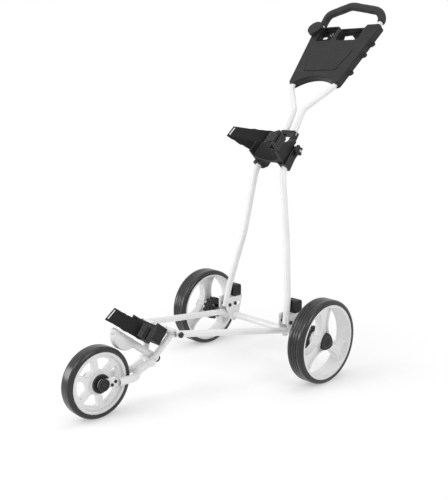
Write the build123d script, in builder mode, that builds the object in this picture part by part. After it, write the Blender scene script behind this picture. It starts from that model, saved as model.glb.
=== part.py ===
from build123d import *
import os
from math import asin, cos, radians, sin

os.makedirs("parts", exist_ok=True)

# A three-wheel golf push cart with a folding mast, a folding front fork and a folding handle.
# X runs across the cart, the front wheel lies towards -Y, +Z is up and the floor is Z = 0.
# The origin is on the floor under the middle of the rear axle. All sizes are millimetres.

# Clearances.
SEAT = 0.10            # between a tube or ring and the piece that holds it
RUN = 0.04             # radial play of a turning piece on its pin
COPE = 0.06            # between a tube end and the tube it is shaped to
SIDE_PLAY = 0.5        # between flat faces that turn past each other

# Rear wheels.
TRACK = 585.0
REAR_R = 146.0
REAR_TYRE_W = 64.0
REAR_TYRE_T = 16.0
REAR_SHOULDER = 12.0
REAR_RIM_W = 58.0
REAR_RIM_WALL = 9.0
REAR_HUB_R = 30.0
REAR_HUB_IN = 28.5     # hub end on the cart side, from the wheel middle
REAR_HUB_OUT = 19.5    # hub end on the outer side
SPOKE_COUNT = 3
SPOKE_ROOT_R = 22.0
SPOKE_ROOT_H = 24.0
SPOKE_WAIST_R = 68.0
SPOKE_WAIST_H = 18.0
SPOKE_TIP_R = 130.0
SPOKE_TIP_H = 52.0
SPOKE_WALL = 4.5
SPOKE_RIB_OUT = 16.0   # outer edge of the spoke ribs, from the wheel middle
SPOKE_RIB_DEPTH = 30.0
SPOKE_FLOOR_DROP = 9.0
SPOKE_FLOOR_T = 4.0
GROOVE_COUNT = 3
GROOVE_PITCH = 10.0
GROOVE_W = 1.8
GROOVE_D = 1.2
CAP_ARC_R = 50.0
CAP_ARC_SHIFT = 23.0
CAP_T = 7.0
CAP_CORNER = 6.0
CAP_DISH_R = 19.0
CAP_DISH_D = 2.0
RING_TEETH = 12
RING_TIP_R = 42.0
RING_ROOT_R = 34.0
RING_TOOTH_W = 10.0
RING_BORE_R = 20.0
RING_LEN = 24.0

# Rear axle and wheel bearings.
AXLE_R = 6.0
BEARING_R = 14.0
BEARING_W = 8.0
BEARING_INSET = 3.0
NUT_R = 10.0
NUT_T = 3.0

# Front wheel.
WHEELBASE = 721.0
FRONT_R = 114.0
FRONT_TYRE_W = 48.0
FRONT_TYRE_T = 16.0
FRONT_SHOULDER = 11.0
FRONT_RIM_W = 42.0
FRONT_RIM_WALL = 9.0
FRONT_BAND_R = 77.0    # inner edge of the flat band
FRONT_BAND_T = 20.0
FRONT_HUB_R = 33.0
FRONT_HUB_LEN = 46.0
FRONT_SPOKE_W = 16.0
FRONT_SPOKE_COUNT = 6
FRONT_SPOKE_TURN = 37.0
FRONT_WINDOW_IN = 41.0    # inner edge of the windows between the spokes
FRONT_WINDOW_ROUND = 5.0
FRONT_DISC_R = 30.0
FRONT_DISC_T = 5.0
FRONT_AXLE_R = 5.0
FRONT_BEARING_R = 13.0
FRONT_NUT_R = 19.5
FRONT_NUT_T = 7.0

# Rear cross tube, brackets and side tubes.
TUBE_R = 12.5
MAST_R = 11.5
TUBE_WALL = 2.0
BRACKET_X = 152.0
BRACKET_GAP = 38.0
PLATE_T = 3.0
BRACKET_TOP = 216.0
BRACKET_FRONT = -40.0
BRACKET_BACK = 40.0
BRACKET_FOOT_R = 23.0
BRACKET_HOLE_R = 8.0
BRACKET_HOLE_Y = 22.0
BRACKET_HOLE_Z = 188.0
PIVOT_Y = -26.0
PIVOT_Z = 188.0
PIVOT_BOLT_R = 4.0
BOLT_HEAD_R = 7.0
BOLT_HEAD_T = 4.0
SPACER_BOLT_Y = 2.0
SPACER_BOLT_Z = 190.0
SPACER_R = 7.0
SADDLE_IN = 129.5
SADDLE_BACK = 36.0
SADDLE_FRONT = -4.0
SADDLE_H = 44.0
SADDLE_ROUND = 9.0
SADDLE_SOFT = 3.0
SADDLE_SLOT_IN = 133.5
SADDLE_SLOT_OUT = 162.5
SADDLE_SLOT_BACK = 1.2
SIDE_TUBE_R = 11.0
SIDE_TUBE_WALL = 2.0
SIDE_REAR_X = 157.0
SIDE_REAR_Y = -20.0
SIDE_REAR_Z = 156.0

# Front hinge.
HINGE_X = 84.0
HINGE_Y = 258.0 - WHEELBASE
HINGE_Z = 226.5
HINGE_PIN_R = 5.0
HINGE_HEAD_R = 9.5
HINGE_HEAD_T = 3.5
HINGE_OVERRUN = 11.0
HINGE_HEAD_GAP = 2.4    # the side tubes run slightly across the pin
SLEEVE_R = 12.0
SLEEVE_HALF = 71.0

# Mast tubes, given for the near side from the foot to the head.
MAST_FOOT = (152.7, -27.8, 179.0)
MAST_BEND_LOW = (146.0, -11.0, 264.0)
MAST_BEND_MID = (104.0, 26.0, 470.0)
MAST_BEND_TOP = (64.5, 42.5, 704.0)
MAST_END = (56.5, 98.0, 759.5)
MAST_RADII = [200.0, 600.0, 80.0]

# Mast head and the handle pivot.
HEAD_Y = 108.0
HEAD_Z = 772.0
HEAD_LEAN = 45.0
HEAD_IN = 31.5
HEAD_OUT = 70.0
HEAD_FLARE = 79.0      # the sockets widen to this at their lower ends
HEAD_FLARE_FROM = -28.0
HEAD_ARCH = 47.0
HEAD_R = 16.0
HEAD_LEN = 80.0
HEAD_WEB_LOW = -62.0   # top of the arch between the sockets
HEAD_WEB_HIGH = -43.0
HEAD_WEB_T = 13.0
CLAMP_BOLT_R = 5.0
KNOB_BOSS_R = 13.0
KNOB_BOSS_T = 4.0
KNOB_R = 15.0
KNOB_T = 9.0
KNOB_LOBES = 5
KNOB_LOBE_R = 5.5
KNOB_BOLT_OUT = 6.0

# Cradles. U points out towards the bag and V runs up along the bag.
UP_WALL = 7.0
UP_REACH = 71.0
UP_LOW = -73.5
UP_HIGH = -29.0
UP_HALF = 66.0
UP_ARCH = 13.0
UP_RISE = 52.0         # the back of the upper cradle stands this much over its front
UP_NOTCH_PLAY = 2.0    # room round the handle knuckle
WING_T = 6.0
CRADLE_ROUND = 5.0
LOW_Y = 193.0 - WHEELBASE
LOW_Z = 201.0
LOW_LEAN = 38.0
LOW_BACK = -8.0
LOW_WALL = 8.0
LOW_REACH = 42.0
LOW_HIGH = 57.0
LOW_HALF = 64.0
LOW_ARCH = 9.0

# Buckles, levers and straps.
BUCKLE_IN = 0.5
BUCKLE_T = 12.0
BUCKLE_EAR = 15.0
EAR_PASS = 2.5   # the lever's flap slants only beyond the ears
BUCKLE_EAR_T = 4.0
BUCKLE_PIN_R = 2.5
UP_BUCKLE_LEN = 32.0
UP_BUCKLE_LOW = -64.0
UP_BUCKLE_HIGH = -10.0
LOW_BUCKLE_LEN = 20.0
LOW_BUCKLE_LOW = -15.0
LOW_BUCKLE_HIGH = 36.0
LEVER_HUB_R = 5.5
LEVER_T = 5.0
UP_LEVER_LEN = 34.0
UP_LEVER_DROP = 34.0   # the upper lever slants down towards its tip
LOW_LEVER_LEN = 26.0
LOW_LEVER_DROP = 0.0
RIDGE_PITCH = 7.0
RIDGE_D = 1.2
STRAP_T = 2.2
UP_STRAP_W = 43.0
UP_STRAP_NEAR = (4.0, 808.5)
UP_STRAP_FAR = (6.0, 775.0)
UP_STRAP_FOLD = (-164.6, 833.5)
UP_STRAP_TILT = 42.0
LOW_STRAP_W = 46.0
LOW_STRAP_NEAR = (152.4 - WHEELBASE, 215.5)
LOW_STRAP_FAR = (161.0 - WHEELBASE, 226.5)
LOW_STRAP_FOLD = (42.0 - WHEELBASE, 303.0)
LOW_STRAP_TILT = 38.0
FOLD_R = 2.4

# Handle tube, given for the near side from the knuckle to the middle of the loop.
HANDLE_R = 10.0
HANDLE_WALL = 2.0
HANDLE_START = (21.0, 148.0, 821.0)
HANDLE_NECK = (21.0, 199.0, 911.0)
HANDLE_SPREAD = (98.0, 268.0, 988.0)
HANDLE_ELBOW = (138.0, 502.0, 1234.0)
HANDLE_CORNER = (120.0, 508.0, 1266.0)
HANDLE_PEAK = (0.0, 499.0, 1292.0)
HANDLE_RADII = [50.0, 60.0, 34.0, 38.0, 80.0, 38.0, 34.0, 60.0, 50.0]
GRIP_R = 15.5
GRIP_BEFORE = 16.0
KNUCKLE_HALF = 31.0
KNUCKLE_HUB_R = 17.0
KNUCKLE_TOP_R = 14.0
KNUCKLE_LEN = 13.0     # depth of the tube sockets
KNUCKLE_CHEEK = 6.0
KNUCKLE_WINDOW = 20.0  # the window starts this far from the pivot

# Console, two shells clamped round the handle tube. Its plane holds the tube lines.
CON_DEPTH = 14.5
CON_LOW = 12.0
CON_LOW_HALF = 115.0
CON_HIGH = 307.0
CON_HIGH_HALF = 157.0
CON_ARCH = 48.0
CON_DIP_LEFT = 88.0
CON_DIP_RIGHT = -32.0
CON_DIP = 15.0
CON_CORNER = 12.0
CON_EDGE = 3.0         # the sloping edge of the front shell
CON_EDGE_WIDE = 7.0
CON_CAVITY_D = 11.0
CON_CAVITY_HALF = 84.0
CON_CAVITY_LOW = 70.0
CON_CAVITY_HIGH = 205.0
LID_LOW = 75.0
LID_HIGH = 172.0
LID_LOW_HALF = 72.0
LID_HIGH_HALF = 98.0
LID_T = 4.0
LID_PROUD = 1.0
LID_GAP = 1.8
LID_POCKET = 10.5
LID_PIN_W = 169.5
LID_PIN_R = 1.8
LID_PIN_OUT = 3.5
LID_ROUND = 9.0
FLOOR_T = 3.0          # thickness of the tray floors
TRAY_X = 36.0
TRAY_W = 257.0
TRAY_LEN = 108.0
TRAY_WIDE = 58.0
TRAY_ROUND = 18.0
TRAY_HOLE = [(-8.0, 278.0), (24.0, 281.0), (46.0, 262.0), (58.0, 238.0), (30.0, 239.0), (-2.0, 257.0)]
TEE_X = -74.0
TEE_W = 265.0
TEE_LEN = 78.0
TEE_WIDE = 70.0
TEE_ROUND = 12.0
SLOT_X = -100.0
SLOT_W = 272.0
SLOT_LEN = 24.0
SLOT_WIDE = 13.0
TEE_R = 3.4
TEE_D = 3.2            # the row stands over the handle tube
TEE_INSET = 14.0
TEE_ROW = 6
TEE_ROW_LOW = 172.0
TEE_ROW_PITCH = 15.0
TEE_CLUSTER_X = -78.0
TEE_CLUSTER_W = 289.0
TEE_CLUSTER_R = 6.5
TEE_CLUSTER = 4
EYE_R = 11.0
EYE_HOLE_R = 6.0
EYE_T = 6.0
EYE_PLACES = [80.0, 167.0, 221.0]
SOCKET_X = 17.0 - CON_HIGH_HALF
SOCKET_W = 290.0
SOCKET_R = 31.0
SOCKET_T = 18.0
SOCKET_BORE_R = 4.2
SOCKET_BORE_D = 15.0
SOCKET_FLAT_W = 12.0
CON_SCREW_R = 2.0
CON_SCREW_HEAD_R = 4.0
CON_SCREW_HEAD_T = 2.5
CON_SCREW_LEN = 19.0
CON_SCREWS = [(-76.0, 58.0), (76.0, 58.0), (-96.0, 222.0), (102.0, 222.0)]

# Front frame: crown, yoke legs, bag rest, fork.
CROWN_Y = 197.0 - WHEELBASE
CROWN_Z = 130.0
CROWN_R = 14.0
CROWN_HALF = 29.0
CROWN_ROUND = 2.0
LEG_R = 10.5
LEG_WALL = 2.0
LEG_LOW_X = 18.0
LEG_HIGH_X = 58.0
REST_R = 12.0
REST_WALL = 2.0
REST_Y = 215.0 - WHEELBASE    # a point on the rest tube's line
REST_Z = 145.0
REST_LEAN = 38.0
REST_FRONT = 184.0
REST_BACK = 24.0
REST_PLUG_T = 9.0
FOOT_FROM = 88.0
FOOT_TO = 188.0
FOOT_DROP = 38.0
FOOT_HALF = 15.0
FOOT_ROUND = 6.0
FORK_R = 12.5
FORK_WALL = 2.0
FORK_X = 15.0
FORK_OUT_X = 38.0
FORK_BEND_Y = 145.0 - WHEELBASE
FORK_BEND_Z = 110.5
FORK_OUT_Y = 121.0 - WHEELBASE
FORK_OUT_Z = 104.5
FORK_END_Y = 57.0 - WHEELBASE
FORK_END_Z = 107.0
FORK_BEND_R = 22.0
DROP_IN = 31.0
DROP_T = 6.0
DROP_R = 17.0
SCREW_R = 3.0
SCREW_HEAD_R = 5.0
SCREW_HEAD_T = 3.0
SCREW_A = (45.0 - WHEELBASE, 113.0)
SCREW_B = (32.0 - WHEELBASE, 105.0)
WEB_IN = 30.0
WEB_T = 4.0
WEB_HOLE_R = 6.0


# Shared places worked out from the sizes above.
PLATE_A = BRACKET_X - BRACKET_GAP / 2
PLATE_B = BRACKET_X + BRACKET_GAP / 2
HUB_IN_X = TRACK / 2 - REAR_HUB_IN
HUB_OUT_X = TRACK / 2 + REAR_HUB_OUT
AXLE_END = HUB_OUT_X - NUT_T - SIDE_PLAY


def save(piece, name):
    piece.part.label = name
    export_step(piece.part, "parts/" + name + ".step")


def yz(x, y=0.0, z=0.0):
    # A plane across the cart at x: local x is +Y, local y is +Z.
    return Plane(origin=(x, y, z), x_dir=(0, 1, 0), z_dir=(1, 0, 0))


def yz_slab(side, x_in, x_out, y=0.0, z=0.0):
    # The start plane of a slab that lies between two distances from the middle plane.
    return yz(min(side * x_in, side * x_out), y, z)


def run_wire(points, radii):
    with BuildLine() as line:
        if radii:
            FilletPolyline(*points, radius=radii)
        else:
            Line(*points)
    return line.line


def run_solid(points, radii, r_out, r_in=0.0):
    # A round bar or tube that follows bent straight runs.
    path = run_wire(points, radii)
    with BuildPart() as bar:
        with BuildSketch(Plane(origin=path @ 0, z_dir=path % 0)):
            Circle(r_out)
            if r_in > 0:
                Circle(r_in, mode=Mode.SUBTRACT)
        sweep(path=path)
    return bar


def mirrored(point):
    return (-point[0], point[1], point[2])


def sided(side, point):
    return (side * point[0], point[1], point[2])


def tyre(name, centre, side, radius, width, thick, shoulder):
    # A solid tyre with rounded shoulders and fine grooves round the tread.
    profile = Plane(origin=centre, x_dir=(side, 0, 0), z_dir=(0, -side, 0))
    with BuildPart() as body:
        with BuildSketch(profile) as section:
            with Locations((0, radius - thick / 2)):
                Rectangle(width, thick)
            fillet(section.vertices().group_by(Axis.Y)[-1], shoulder)
            with GridLocations(GROOVE_PITCH, 0, GROOVE_COUNT, 1):
                with Locations((0, radius)):
                    Rectangle(GROOVE_W, 2 * GROOVE_D, mode=Mode.SUBTRACT)
        revolve(axis=Axis(centre, (1, 0, 0)))
    save(body, name)


def spoke_face(inset):
    # The flared face of a rear spoke, pointing along local +x.
    with BuildSketch() as face:
        with BuildLine():
            top = ThreePointArc(
                (SPOKE_ROOT_R, SPOKE_ROOT_H - inset),
                (SPOKE_WAIST_R, SPOKE_WAIST_H - inset),
                (SPOKE_TIP_R, SPOKE_TIP_H - inset),
            )
            low = ThreePointArc(
                (SPOKE_ROOT_R, inset - SPOKE_ROOT_H),
                (SPOKE_WAIST_R, inset - SPOKE_WAIST_H),
                (SPOKE_TIP_R, inset - SPOKE_TIP_H),
            )
            Line(top @ 0, low @ 0)
            Line(top @ 1, low @ 1)
        make_face()
    return face.sketch


# Rear wheels, one section for both sides.
SPOKE_OUTER = spoke_face(0.0)
SPOKE_INNER = spoke_face(SPOKE_WALL)
RIM_R = REAR_R - REAR_TYRE_T - SEAT

for side, word in ((1, "left"), (-1, "right")):
    centre = (side * TRACK / 2, 0, REAR_R)
    axle_line = Axis(centre, (1, 0, 0))
    profile = Plane(origin=centre, x_dir=(side, 0, 0), z_dir=(0, -side, 0))

    def face(offset):
        # A wheel plane at a distance from the wheel middle, looking outwards.
        x = side * (TRACK / 2 + offset)
        return Plane(origin=(x, 0, REAR_R), x_dir=(0, side, 0), z_dir=(side, 0, 0))

    tyre("rear_tyre_" + word, centre, side, REAR_R, REAR_TYRE_W, REAR_TYRE_T, REAR_SHOULDER)

    # The rim: a barrel under the tyre, three flared channel spokes and a hub.
    with BuildPart() as rim:
        with BuildSketch(profile):
            with Locations((0, RIM_R - REAR_RIM_WALL / 2)):
                Rectangle(REAR_RIM_W, REAR_RIM_WALL)
        revolve(axis=axle_line)
        with BuildSketch(face(SPOKE_RIB_OUT - SPOKE_RIB_DEPTH)):
            with PolarLocations(0, SPOKE_COUNT, start_angle=90):
                add(SPOKE_OUTER)
            with PolarLocations(0, SPOKE_COUNT, start_angle=90):
                add(SPOKE_INNER, mode=Mode.SUBTRACT)
            Circle(RIM_R - REAR_RIM_WALL / 2, mode=Mode.INTERSECT)
        extrude(amount=SPOKE_RIB_DEPTH)
        with BuildSketch(face(SPOKE_RIB_OUT - SPOKE_FLOOR_DROP - SPOKE_FLOOR_T)):
            with PolarLocations(0, SPOKE_COUNT, start_angle=90):
                add(SPOKE_OUTER)
            Circle(RIM_R - REAR_RIM_WALL / 2, mode=Mode.INTERSECT)
        extrude(amount=SPOKE_FLOOR_T)
        with BuildSketch(face(-REAR_HUB_IN)):
            Circle(REAR_HUB_R)
        extrude(amount=REAR_HUB_IN + REAR_HUB_OUT)
        with BuildSketch(face(-REAR_HUB_IN)):
            Circle(BEARING_R + SEAT)
        extrude(amount=REAR_HUB_IN + REAR_HUB_OUT, mode=Mode.SUBTRACT)
    save(rim, "rear_rim_" + word)

    # Two bearings in the hub.
    with BuildPart() as bearings:
        with BuildSketch(face(BEARING_INSET - REAR_HUB_IN)):
            Circle(BEARING_R)
            Circle(AXLE_R + RUN, mode=Mode.SUBTRACT)
        extrude(amount=BEARING_W)
        with BuildSketch(face(REAR_HUB_OUT - 2 * BEARING_INSET - NUT_T - BEARING_W)):
            Circle(BEARING_R)
            Circle(AXLE_R + RUN, mode=Mode.SUBTRACT)
        extrude(amount=BEARING_W)
    save(bearings, "rear_bearings_" + word)

    # The toothed ring on the cart side of the hub.
    with BuildPart() as ring:
        with BuildSketch(face(-REAR_HUB_IN - RING_LEN)):
            Circle(RING_ROOT_R)
            with PolarLocations(0, RING_TEETH):
                with Locations(((RING_ROOT_R + RING_TIP_R) / 2 - 1, 0)):
                    Rectangle(RING_TIP_R - RING_ROOT_R + 2, RING_TOOTH_W)
            Circle(RING_BORE_R, mode=Mode.SUBTRACT)
        extrude(amount=RING_LEN)
    save(ring, "hub_ring_" + word)

    # The rounded three-sided cap on the outer hub end.
    with BuildPart() as cap:
        with BuildSketch(face(REAR_HUB_OUT)) as outline:
            with PolarLocations(CAP_ARC_SHIFT, 1, start_angle=90):
                Circle(CAP_ARC_R)
            with PolarLocations(CAP_ARC_SHIFT, 1, start_angle=210):
                Circle(CAP_ARC_R, mode=Mode.INTERSECT)
            with PolarLocations(CAP_ARC_SHIFT, 1, start_angle=330):
                Circle(CAP_ARC_R, mode=Mode.INTERSECT)
            fillet(outline.vertices(), CAP_CORNER)
        extrude(amount=CAP_T)
        fillet(cap.faces().sort_by(Axis.X)[-1 if side > 0 else 0].edges(), CAP_T / 3)
        with BuildSketch(face(REAR_HUB_OUT + CAP_T)):
            Circle(CAP_DISH_R)
        extrude(amount=-CAP_DISH_D, mode=Mode.SUBTRACT)
    save(cap, "hub_cap_" + word)

# The rear axle and its end nuts.
with BuildPart() as rear_axle:
    with BuildSketch(yz(-AXLE_END, 0, REAR_R)):
        Circle(AXLE_R)
    extrude(amount=2 * AXLE_END)
save(rear_axle, "rear_axle")

with BuildPart() as axle_nuts:
    for side in (1, -1):
        with BuildSketch(yz_slab(side, AXLE_END - NUT_T - BEARING_INSET / 2, AXLE_END, 0, REAR_R)):
            RegularPolygon(NUT_R, 6)
            Circle(AXLE_R + RUN, mode=Mode.SUBTRACT)
        extrude(amount=NUT_T)
save(axle_nuts, "axle_nuts")

# The cross tube, in three lengths: between the brackets and inside each bracket.
with BuildPart() as axle_tube:
    for x_from, x_to in (
        (-PLATE_B, -PLATE_A),
        (-PLATE_A + PLATE_T, PLATE_A - PLATE_T),
        (PLATE_A, PLATE_B),
    ):
        with BuildSketch(yz(x_from, 0, REAR_R)):
            Circle(TUBE_R)
            Circle(AXLE_R + SEAT, mode=Mode.SUBTRACT)
        extrude(amount=x_to - x_from)
save(axle_tube, "axle_tube")

# Side tubes from inside the rear brackets to the front hinge.
SIDE_RUN = (HINGE_X - SIDE_REAR_X, HINGE_Y - SIDE_REAR_Y, HINGE_Z - SIDE_REAR_Z)
SIDE_LEN = (SIDE_RUN[0] ** 2 + SIDE_RUN[1] ** 2 + SIDE_RUN[2] ** 2) ** 0.5
SIDE_DIR = (SIDE_RUN[0] / SIDE_LEN, SIDE_RUN[1] / SIDE_LEN, SIDE_RUN[2] / SIDE_LEN)
SIDE_START = (
    SIDE_REAR_X - SIDE_DIR[0] * TUBE_R,
    SIDE_REAR_Y - SIDE_DIR[1] * TUBE_R,
    SIDE_REAR_Z - SIDE_DIR[2] * TUBE_R,
)
SIDE_END = (
    HINGE_X + SIDE_DIR[0] * HINGE_OVERRUN,
    HINGE_Y + SIDE_DIR[1] * HINGE_OVERRUN,
    HINGE_Z + SIDE_DIR[2] * HINGE_OVERRUN,
)
for side, word in ((1, "left"), (-1, "right")):
    with BuildPart() as side_tube:
        add(
            run_solid(
                [sided(side, SIDE_START), sided(side, SIDE_END)],
                [],
                SIDE_TUBE_R,
                SIDE_TUBE_R - SIDE_TUBE_WALL,
            ).part
        )
        with BuildSketch(yz_slab(side, PLATE_A - PLATE_T, PLATE_B + PLATE_T, 0, REAR_R)):
            Circle(TUBE_R + COPE)
        extrude(amount=BRACKET_GAP + 2 * PLATE_T, mode=Mode.SUBTRACT)
        with BuildSketch(yz_slab(side, HINGE_X - 2 * SIDE_TUBE_R, HINGE_X + 2 * SIDE_TUBE_R, HINGE_Y, HINGE_Z)):
            Circle(HINGE_PIN_R + SEAT)
        extrude(amount=4 * SIDE_TUBE_R, mode=Mode.SUBTRACT)
    save(side_tube, "side_tube_" + word)

# Rear brackets: a pair of plates on the cross tube, drilled for the pivot and spacer bolts.
for side, word in ((1, "left"), (-1, "right")):
    with BuildPart() as bracket:
        for x_in, x_out in ((PLATE_A - PLATE_T, PLATE_A), (PLATE_B, PLATE_B + PLATE_T)):
            with BuildSketch(yz_slab(side, x_in, x_out)) as outline:
                with BuildLine():
                    Polyline(
                        (BRACKET_FRONT, BRACKET_TOP),
                        (BRACKET_BACK, BRACKET_TOP),
                        (BRACKET_FOOT_R, REAR_R),
                        (-BRACKET_FOOT_R, REAR_R),
                        (BRACKET_FRONT, PIVOT_Z - 2 * BOLT_HEAD_R),
                        close=True,
                    )
                make_face()
                with Locations((0, REAR_R)):
                    Circle(BRACKET_FOOT_R)
                with Locations((0, REAR_R)):
                    Circle(AXLE_R + SEAT, mode=Mode.SUBTRACT)
                with Locations((PIVOT_Y, PIVOT_Z)):
                    Circle(PIVOT_BOLT_R + SEAT, mode=Mode.SUBTRACT)
                with Locations((SPACER_BOLT_Y, SPACER_BOLT_Z)):
                    Circle(PIVOT_BOLT_R + SEAT, mode=Mode.SUBTRACT)
                with Locations((BRACKET_HOLE_Y, BRACKET_HOLE_Z)):
                    Circle(BRACKET_HOLE_R, mode=Mode.SUBTRACT)
            extrude(amount=PLATE_T)
    save(bracket, "bracket_" + word)

# Pivot bolts and spacer bolts of both brackets.
with BuildPart() as bracket_bolts:
    for side in (1, -1):
        for y, z in ((PIVOT_Y, PIVOT_Z), (SPACER_BOLT_Y, SPACER_BOLT_Z)):
            with BuildSketch(yz_slab(side, PLATE_A - PLATE_T, PLATE_B + PLATE_T, y, z)):
                Circle(PIVOT_BOLT_R)
            extrude(amount=BRACKET_GAP + 2 * PLATE_T)
            with BuildSketch(yz_slab(side, PLATE_B + PLATE_T, PLATE_B + PLATE_T + BOLT_HEAD_T, y, z)):
                Circle(BOLT_HEAD_R)
            extrude(amount=BOLT_HEAD_T)
            with BuildSketch(yz_slab(side, PLATE_A - PLATE_T - BOLT_HEAD_T, PLATE_A - PLATE_T, y, z)):
                RegularPolygon(BOLT_HEAD_R, 6)
            extrude(amount=BOLT_HEAD_T)
        with BuildSketch(yz_slab(side, PLATE_A, PLATE_B, SPACER_BOLT_Y, SPACER_BOLT_Z)):
            Circle(SPACER_R)
        extrude(amount=BRACKET_GAP)
save(bracket_bolts, "bracket_bolts")

# Saddles on the brackets, open to the front, that catch the mast tubes when they stand.
for side, word in ((1, "left"), (-1, "right")):
    with BuildPart() as saddle:
        with BuildSketch(yz_slab(side, SADDLE_IN, PLATE_B + PLATE_T)) as outline:
            with BuildLine():
                Polyline(
                    (SADDLE_FRONT, BRACKET_TOP),
                    (SADDLE_BACK, BRACKET_TOP),
                    (SADDLE_BACK, BRACKET_TOP + SADDLE_H),
                    (SADDLE_FRONT, BRACKET_TOP + SADDLE_H),
                    close=True,
                )
            make_face()
            fillet(outline.vertices().group_by(Axis.Y)[-1], SADDLE_ROUND)
        extrude(amount=PLATE_B + PLATE_T - SADDLE_IN)
        for face in (saddle.faces().sort_by(Axis.X)[0], saddle.faces().sort_by(Axis.X)[-1]):
            rims = face.edges().filter_by(lambda edge: edge.center().Z > BRACKET_TOP + 1)
            fillet(rims, SADDLE_SOFT)
        with BuildSketch(yz_slab(side, SADDLE_SLOT_IN, SADDLE_SLOT_OUT)):
            with BuildLine():
                Polyline(
                    (SADDLE_FRONT - 1, BRACKET_TOP - 1),
                    (SADDLE_SLOT_BACK, BRACKET_TOP - 1),
                    (SADDLE_SLOT_BACK, BRACKET_TOP + SADDLE_H + 1),
                    (SADDLE_FRONT - 1, BRACKET_TOP + SADDLE_H + 1),
                    close=True,
                )
            make_face()
        extrude(amount=SADDLE_SLOT_OUT - SADDLE_SLOT_IN, mode=Mode.SUBTRACT)
    save(saddle, "saddle_" + word)

# The front hinge pin with round heads outside the side tubes.
HEAD_FROM = HINGE_X + SIDE_TUBE_R + HINGE_HEAD_GAP
with BuildPart() as hinge_pin:
    with BuildSketch(yz(-HEAD_FROM, HINGE_Y, HINGE_Z)):
        Circle(HINGE_PIN_R)
    extrude(amount=2 * HEAD_FROM)
    for side in (1, -1):
        with BuildSketch(yz_slab(side, HEAD_FROM, HEAD_FROM + HINGE_HEAD_T, HINGE_Y, HINGE_Z)):
            Circle(HINGE_HEAD_R)
        extrude(amount=HINGE_HEAD_T)
save(hinge_pin, "hinge_pin")

# Mast tubes.
for side, word in ((1, "left"), (-1, "right")):
    MAST_POINTS = [
        sided(side, MAST_FOOT),
        sided(side, MAST_BEND_LOW),
        sided(side, MAST_BEND_MID),
        sided(side, MAST_BEND_TOP),
        sided(side, MAST_END),
    ]
    with BuildPart() as upright:
        add(run_solid(MAST_POINTS, MAST_RADII, MAST_R, MAST_R - TUBE_WALL).part)
        with BuildSketch(yz_slab(side, PLATE_A, PLATE_B, PIVOT_Y, PIVOT_Z)):
            Circle(PIVOT_BOLT_R + RUN)
        extrude(amount=BRACKET_GAP, mode=Mode.SUBTRACT)
    save(upright, "upright_" + word)

# Directions of the mast head and of the upper cradle.
HEAD_U = (0, -cos(radians(HEAD_LEAN)), sin(radians(HEAD_LEAN)))
HEAD_V = (0, sin(radians(HEAD_LEAN)), cos(radians(HEAD_LEAN)))
LOW_U = (0, -cos(radians(LOW_LEAN)), sin(radians(LOW_LEAN)))
LOW_V = (0, sin(radians(LOW_LEAN)), cos(radians(LOW_LEAN)))


def side_view(x, origin_y, origin_z, v_dir):
    # A plane across the cart: local x runs along V, local y runs along U.
    return Plane(origin=(x, origin_y, origin_z), x_dir=v_dir, z_dir=(1, 0, 0))


def cross_view(origin_y, origin_z, v_dir, at):
    # A plane square to V: local x is -X, local y runs along U.
    place = (0, origin_y + v_dir[1] * at, origin_z + v_dir[2] * at)
    return Plane(origin=place, x_dir=(-1, 0, 0), z_dir=v_dir)


# The offset of the mast tube line from the pivot, measured along U.
HEAD_LINE = (MAST_END[1] - HEAD_Y) * HEAD_U[1] + (MAST_END[2] - HEAD_Z) * HEAD_U[2]

# The mast head: two cheeks that hold the mast tubes, joined by a web under the handle knuckle.
with BuildPart() as mast_head:
    for side in (1, -1):
        x_from = min(side * HEAD_IN, side * HEAD_OUT)
        with BuildSketch(side_view(x_from, HEAD_Y, HEAD_Z, HEAD_V)):
            with Locations((-HEAD_LEN / 2, HEAD_LINE)):
                Rectangle(HEAD_LEN, 2 * HEAD_R)
            with Locations((0, HEAD_LINE)):
                Circle(HEAD_R)
        extrude(amount=HEAD_OUT - HEAD_IN)
    # The web joins the sockets and ends in an arch.
    web_face = HEAD_LINE + HEAD_R
    web_plane = Plane(
        origin=(0, HEAD_Y + HEAD_U[1] * web_face, HEAD_Z + HEAD_U[2] * web_face),
        x_dir=(1, 0, 0),
        z_dir=HEAD_U,
    )
    with BuildSketch(web_plane):
        with Locations((0, (HEAD_WEB_HIGH - HEAD_LEN) / 2)):
            Rectangle(2 * HEAD_IN + 2, HEAD_WEB_HIGH + HEAD_LEN)
    extrude(amount=-HEAD_WEB_T)
    for side in (1, -1):
        with BuildSketch(web_plane):
            with BuildLine():
                Polyline(
                    (side * HEAD_IN, HEAD_FLARE_FROM),
                    (side * HEAD_OUT, HEAD_FLARE_FROM),
                    (side * HEAD_FLARE, -HEAD_LEN),
                    (side * HEAD_IN, -HEAD_LEN),
                    close=True,
                )
            make_face()
        extrude(amount=-2 * HEAD_R)
    with BuildSketch(web_plane.offset(1)):
        with BuildLine():
            ThreePointArc((-HEAD_ARCH, -HEAD_LEN - 1), (0, HEAD_WEB_LOW), (HEAD_ARCH, -HEAD_LEN - 1))
            Line((HEAD_ARCH, -HEAD_LEN - 1), (-HEAD_ARCH, -HEAD_LEN - 1))
        make_face()
    extrude(amount=-2 * HEAD_R - 2, mode=Mode.SUBTRACT)
    for side in (1, -1):
        add(
            run_solid(
                [sided(side, MAST_BEND_LOW), sided(side, MAST_BEND_MID),
                 sided(side, MAST_BEND_TOP), sided(side, MAST_END)],
                MAST_RADII[1:],
                MAST_R + SEAT,
            ).part,
            mode=Mode.SUBTRACT,
        )
    with BuildSketch(yz(-HEAD_OUT - 1, HEAD_Y, HEAD_Z)):
        Circle(CLAMP_BOLT_R + RUN)
    extrude(amount=2 * HEAD_OUT + 2, mode=Mode.SUBTRACT)
save(mast_head, "mast_head")


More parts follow.
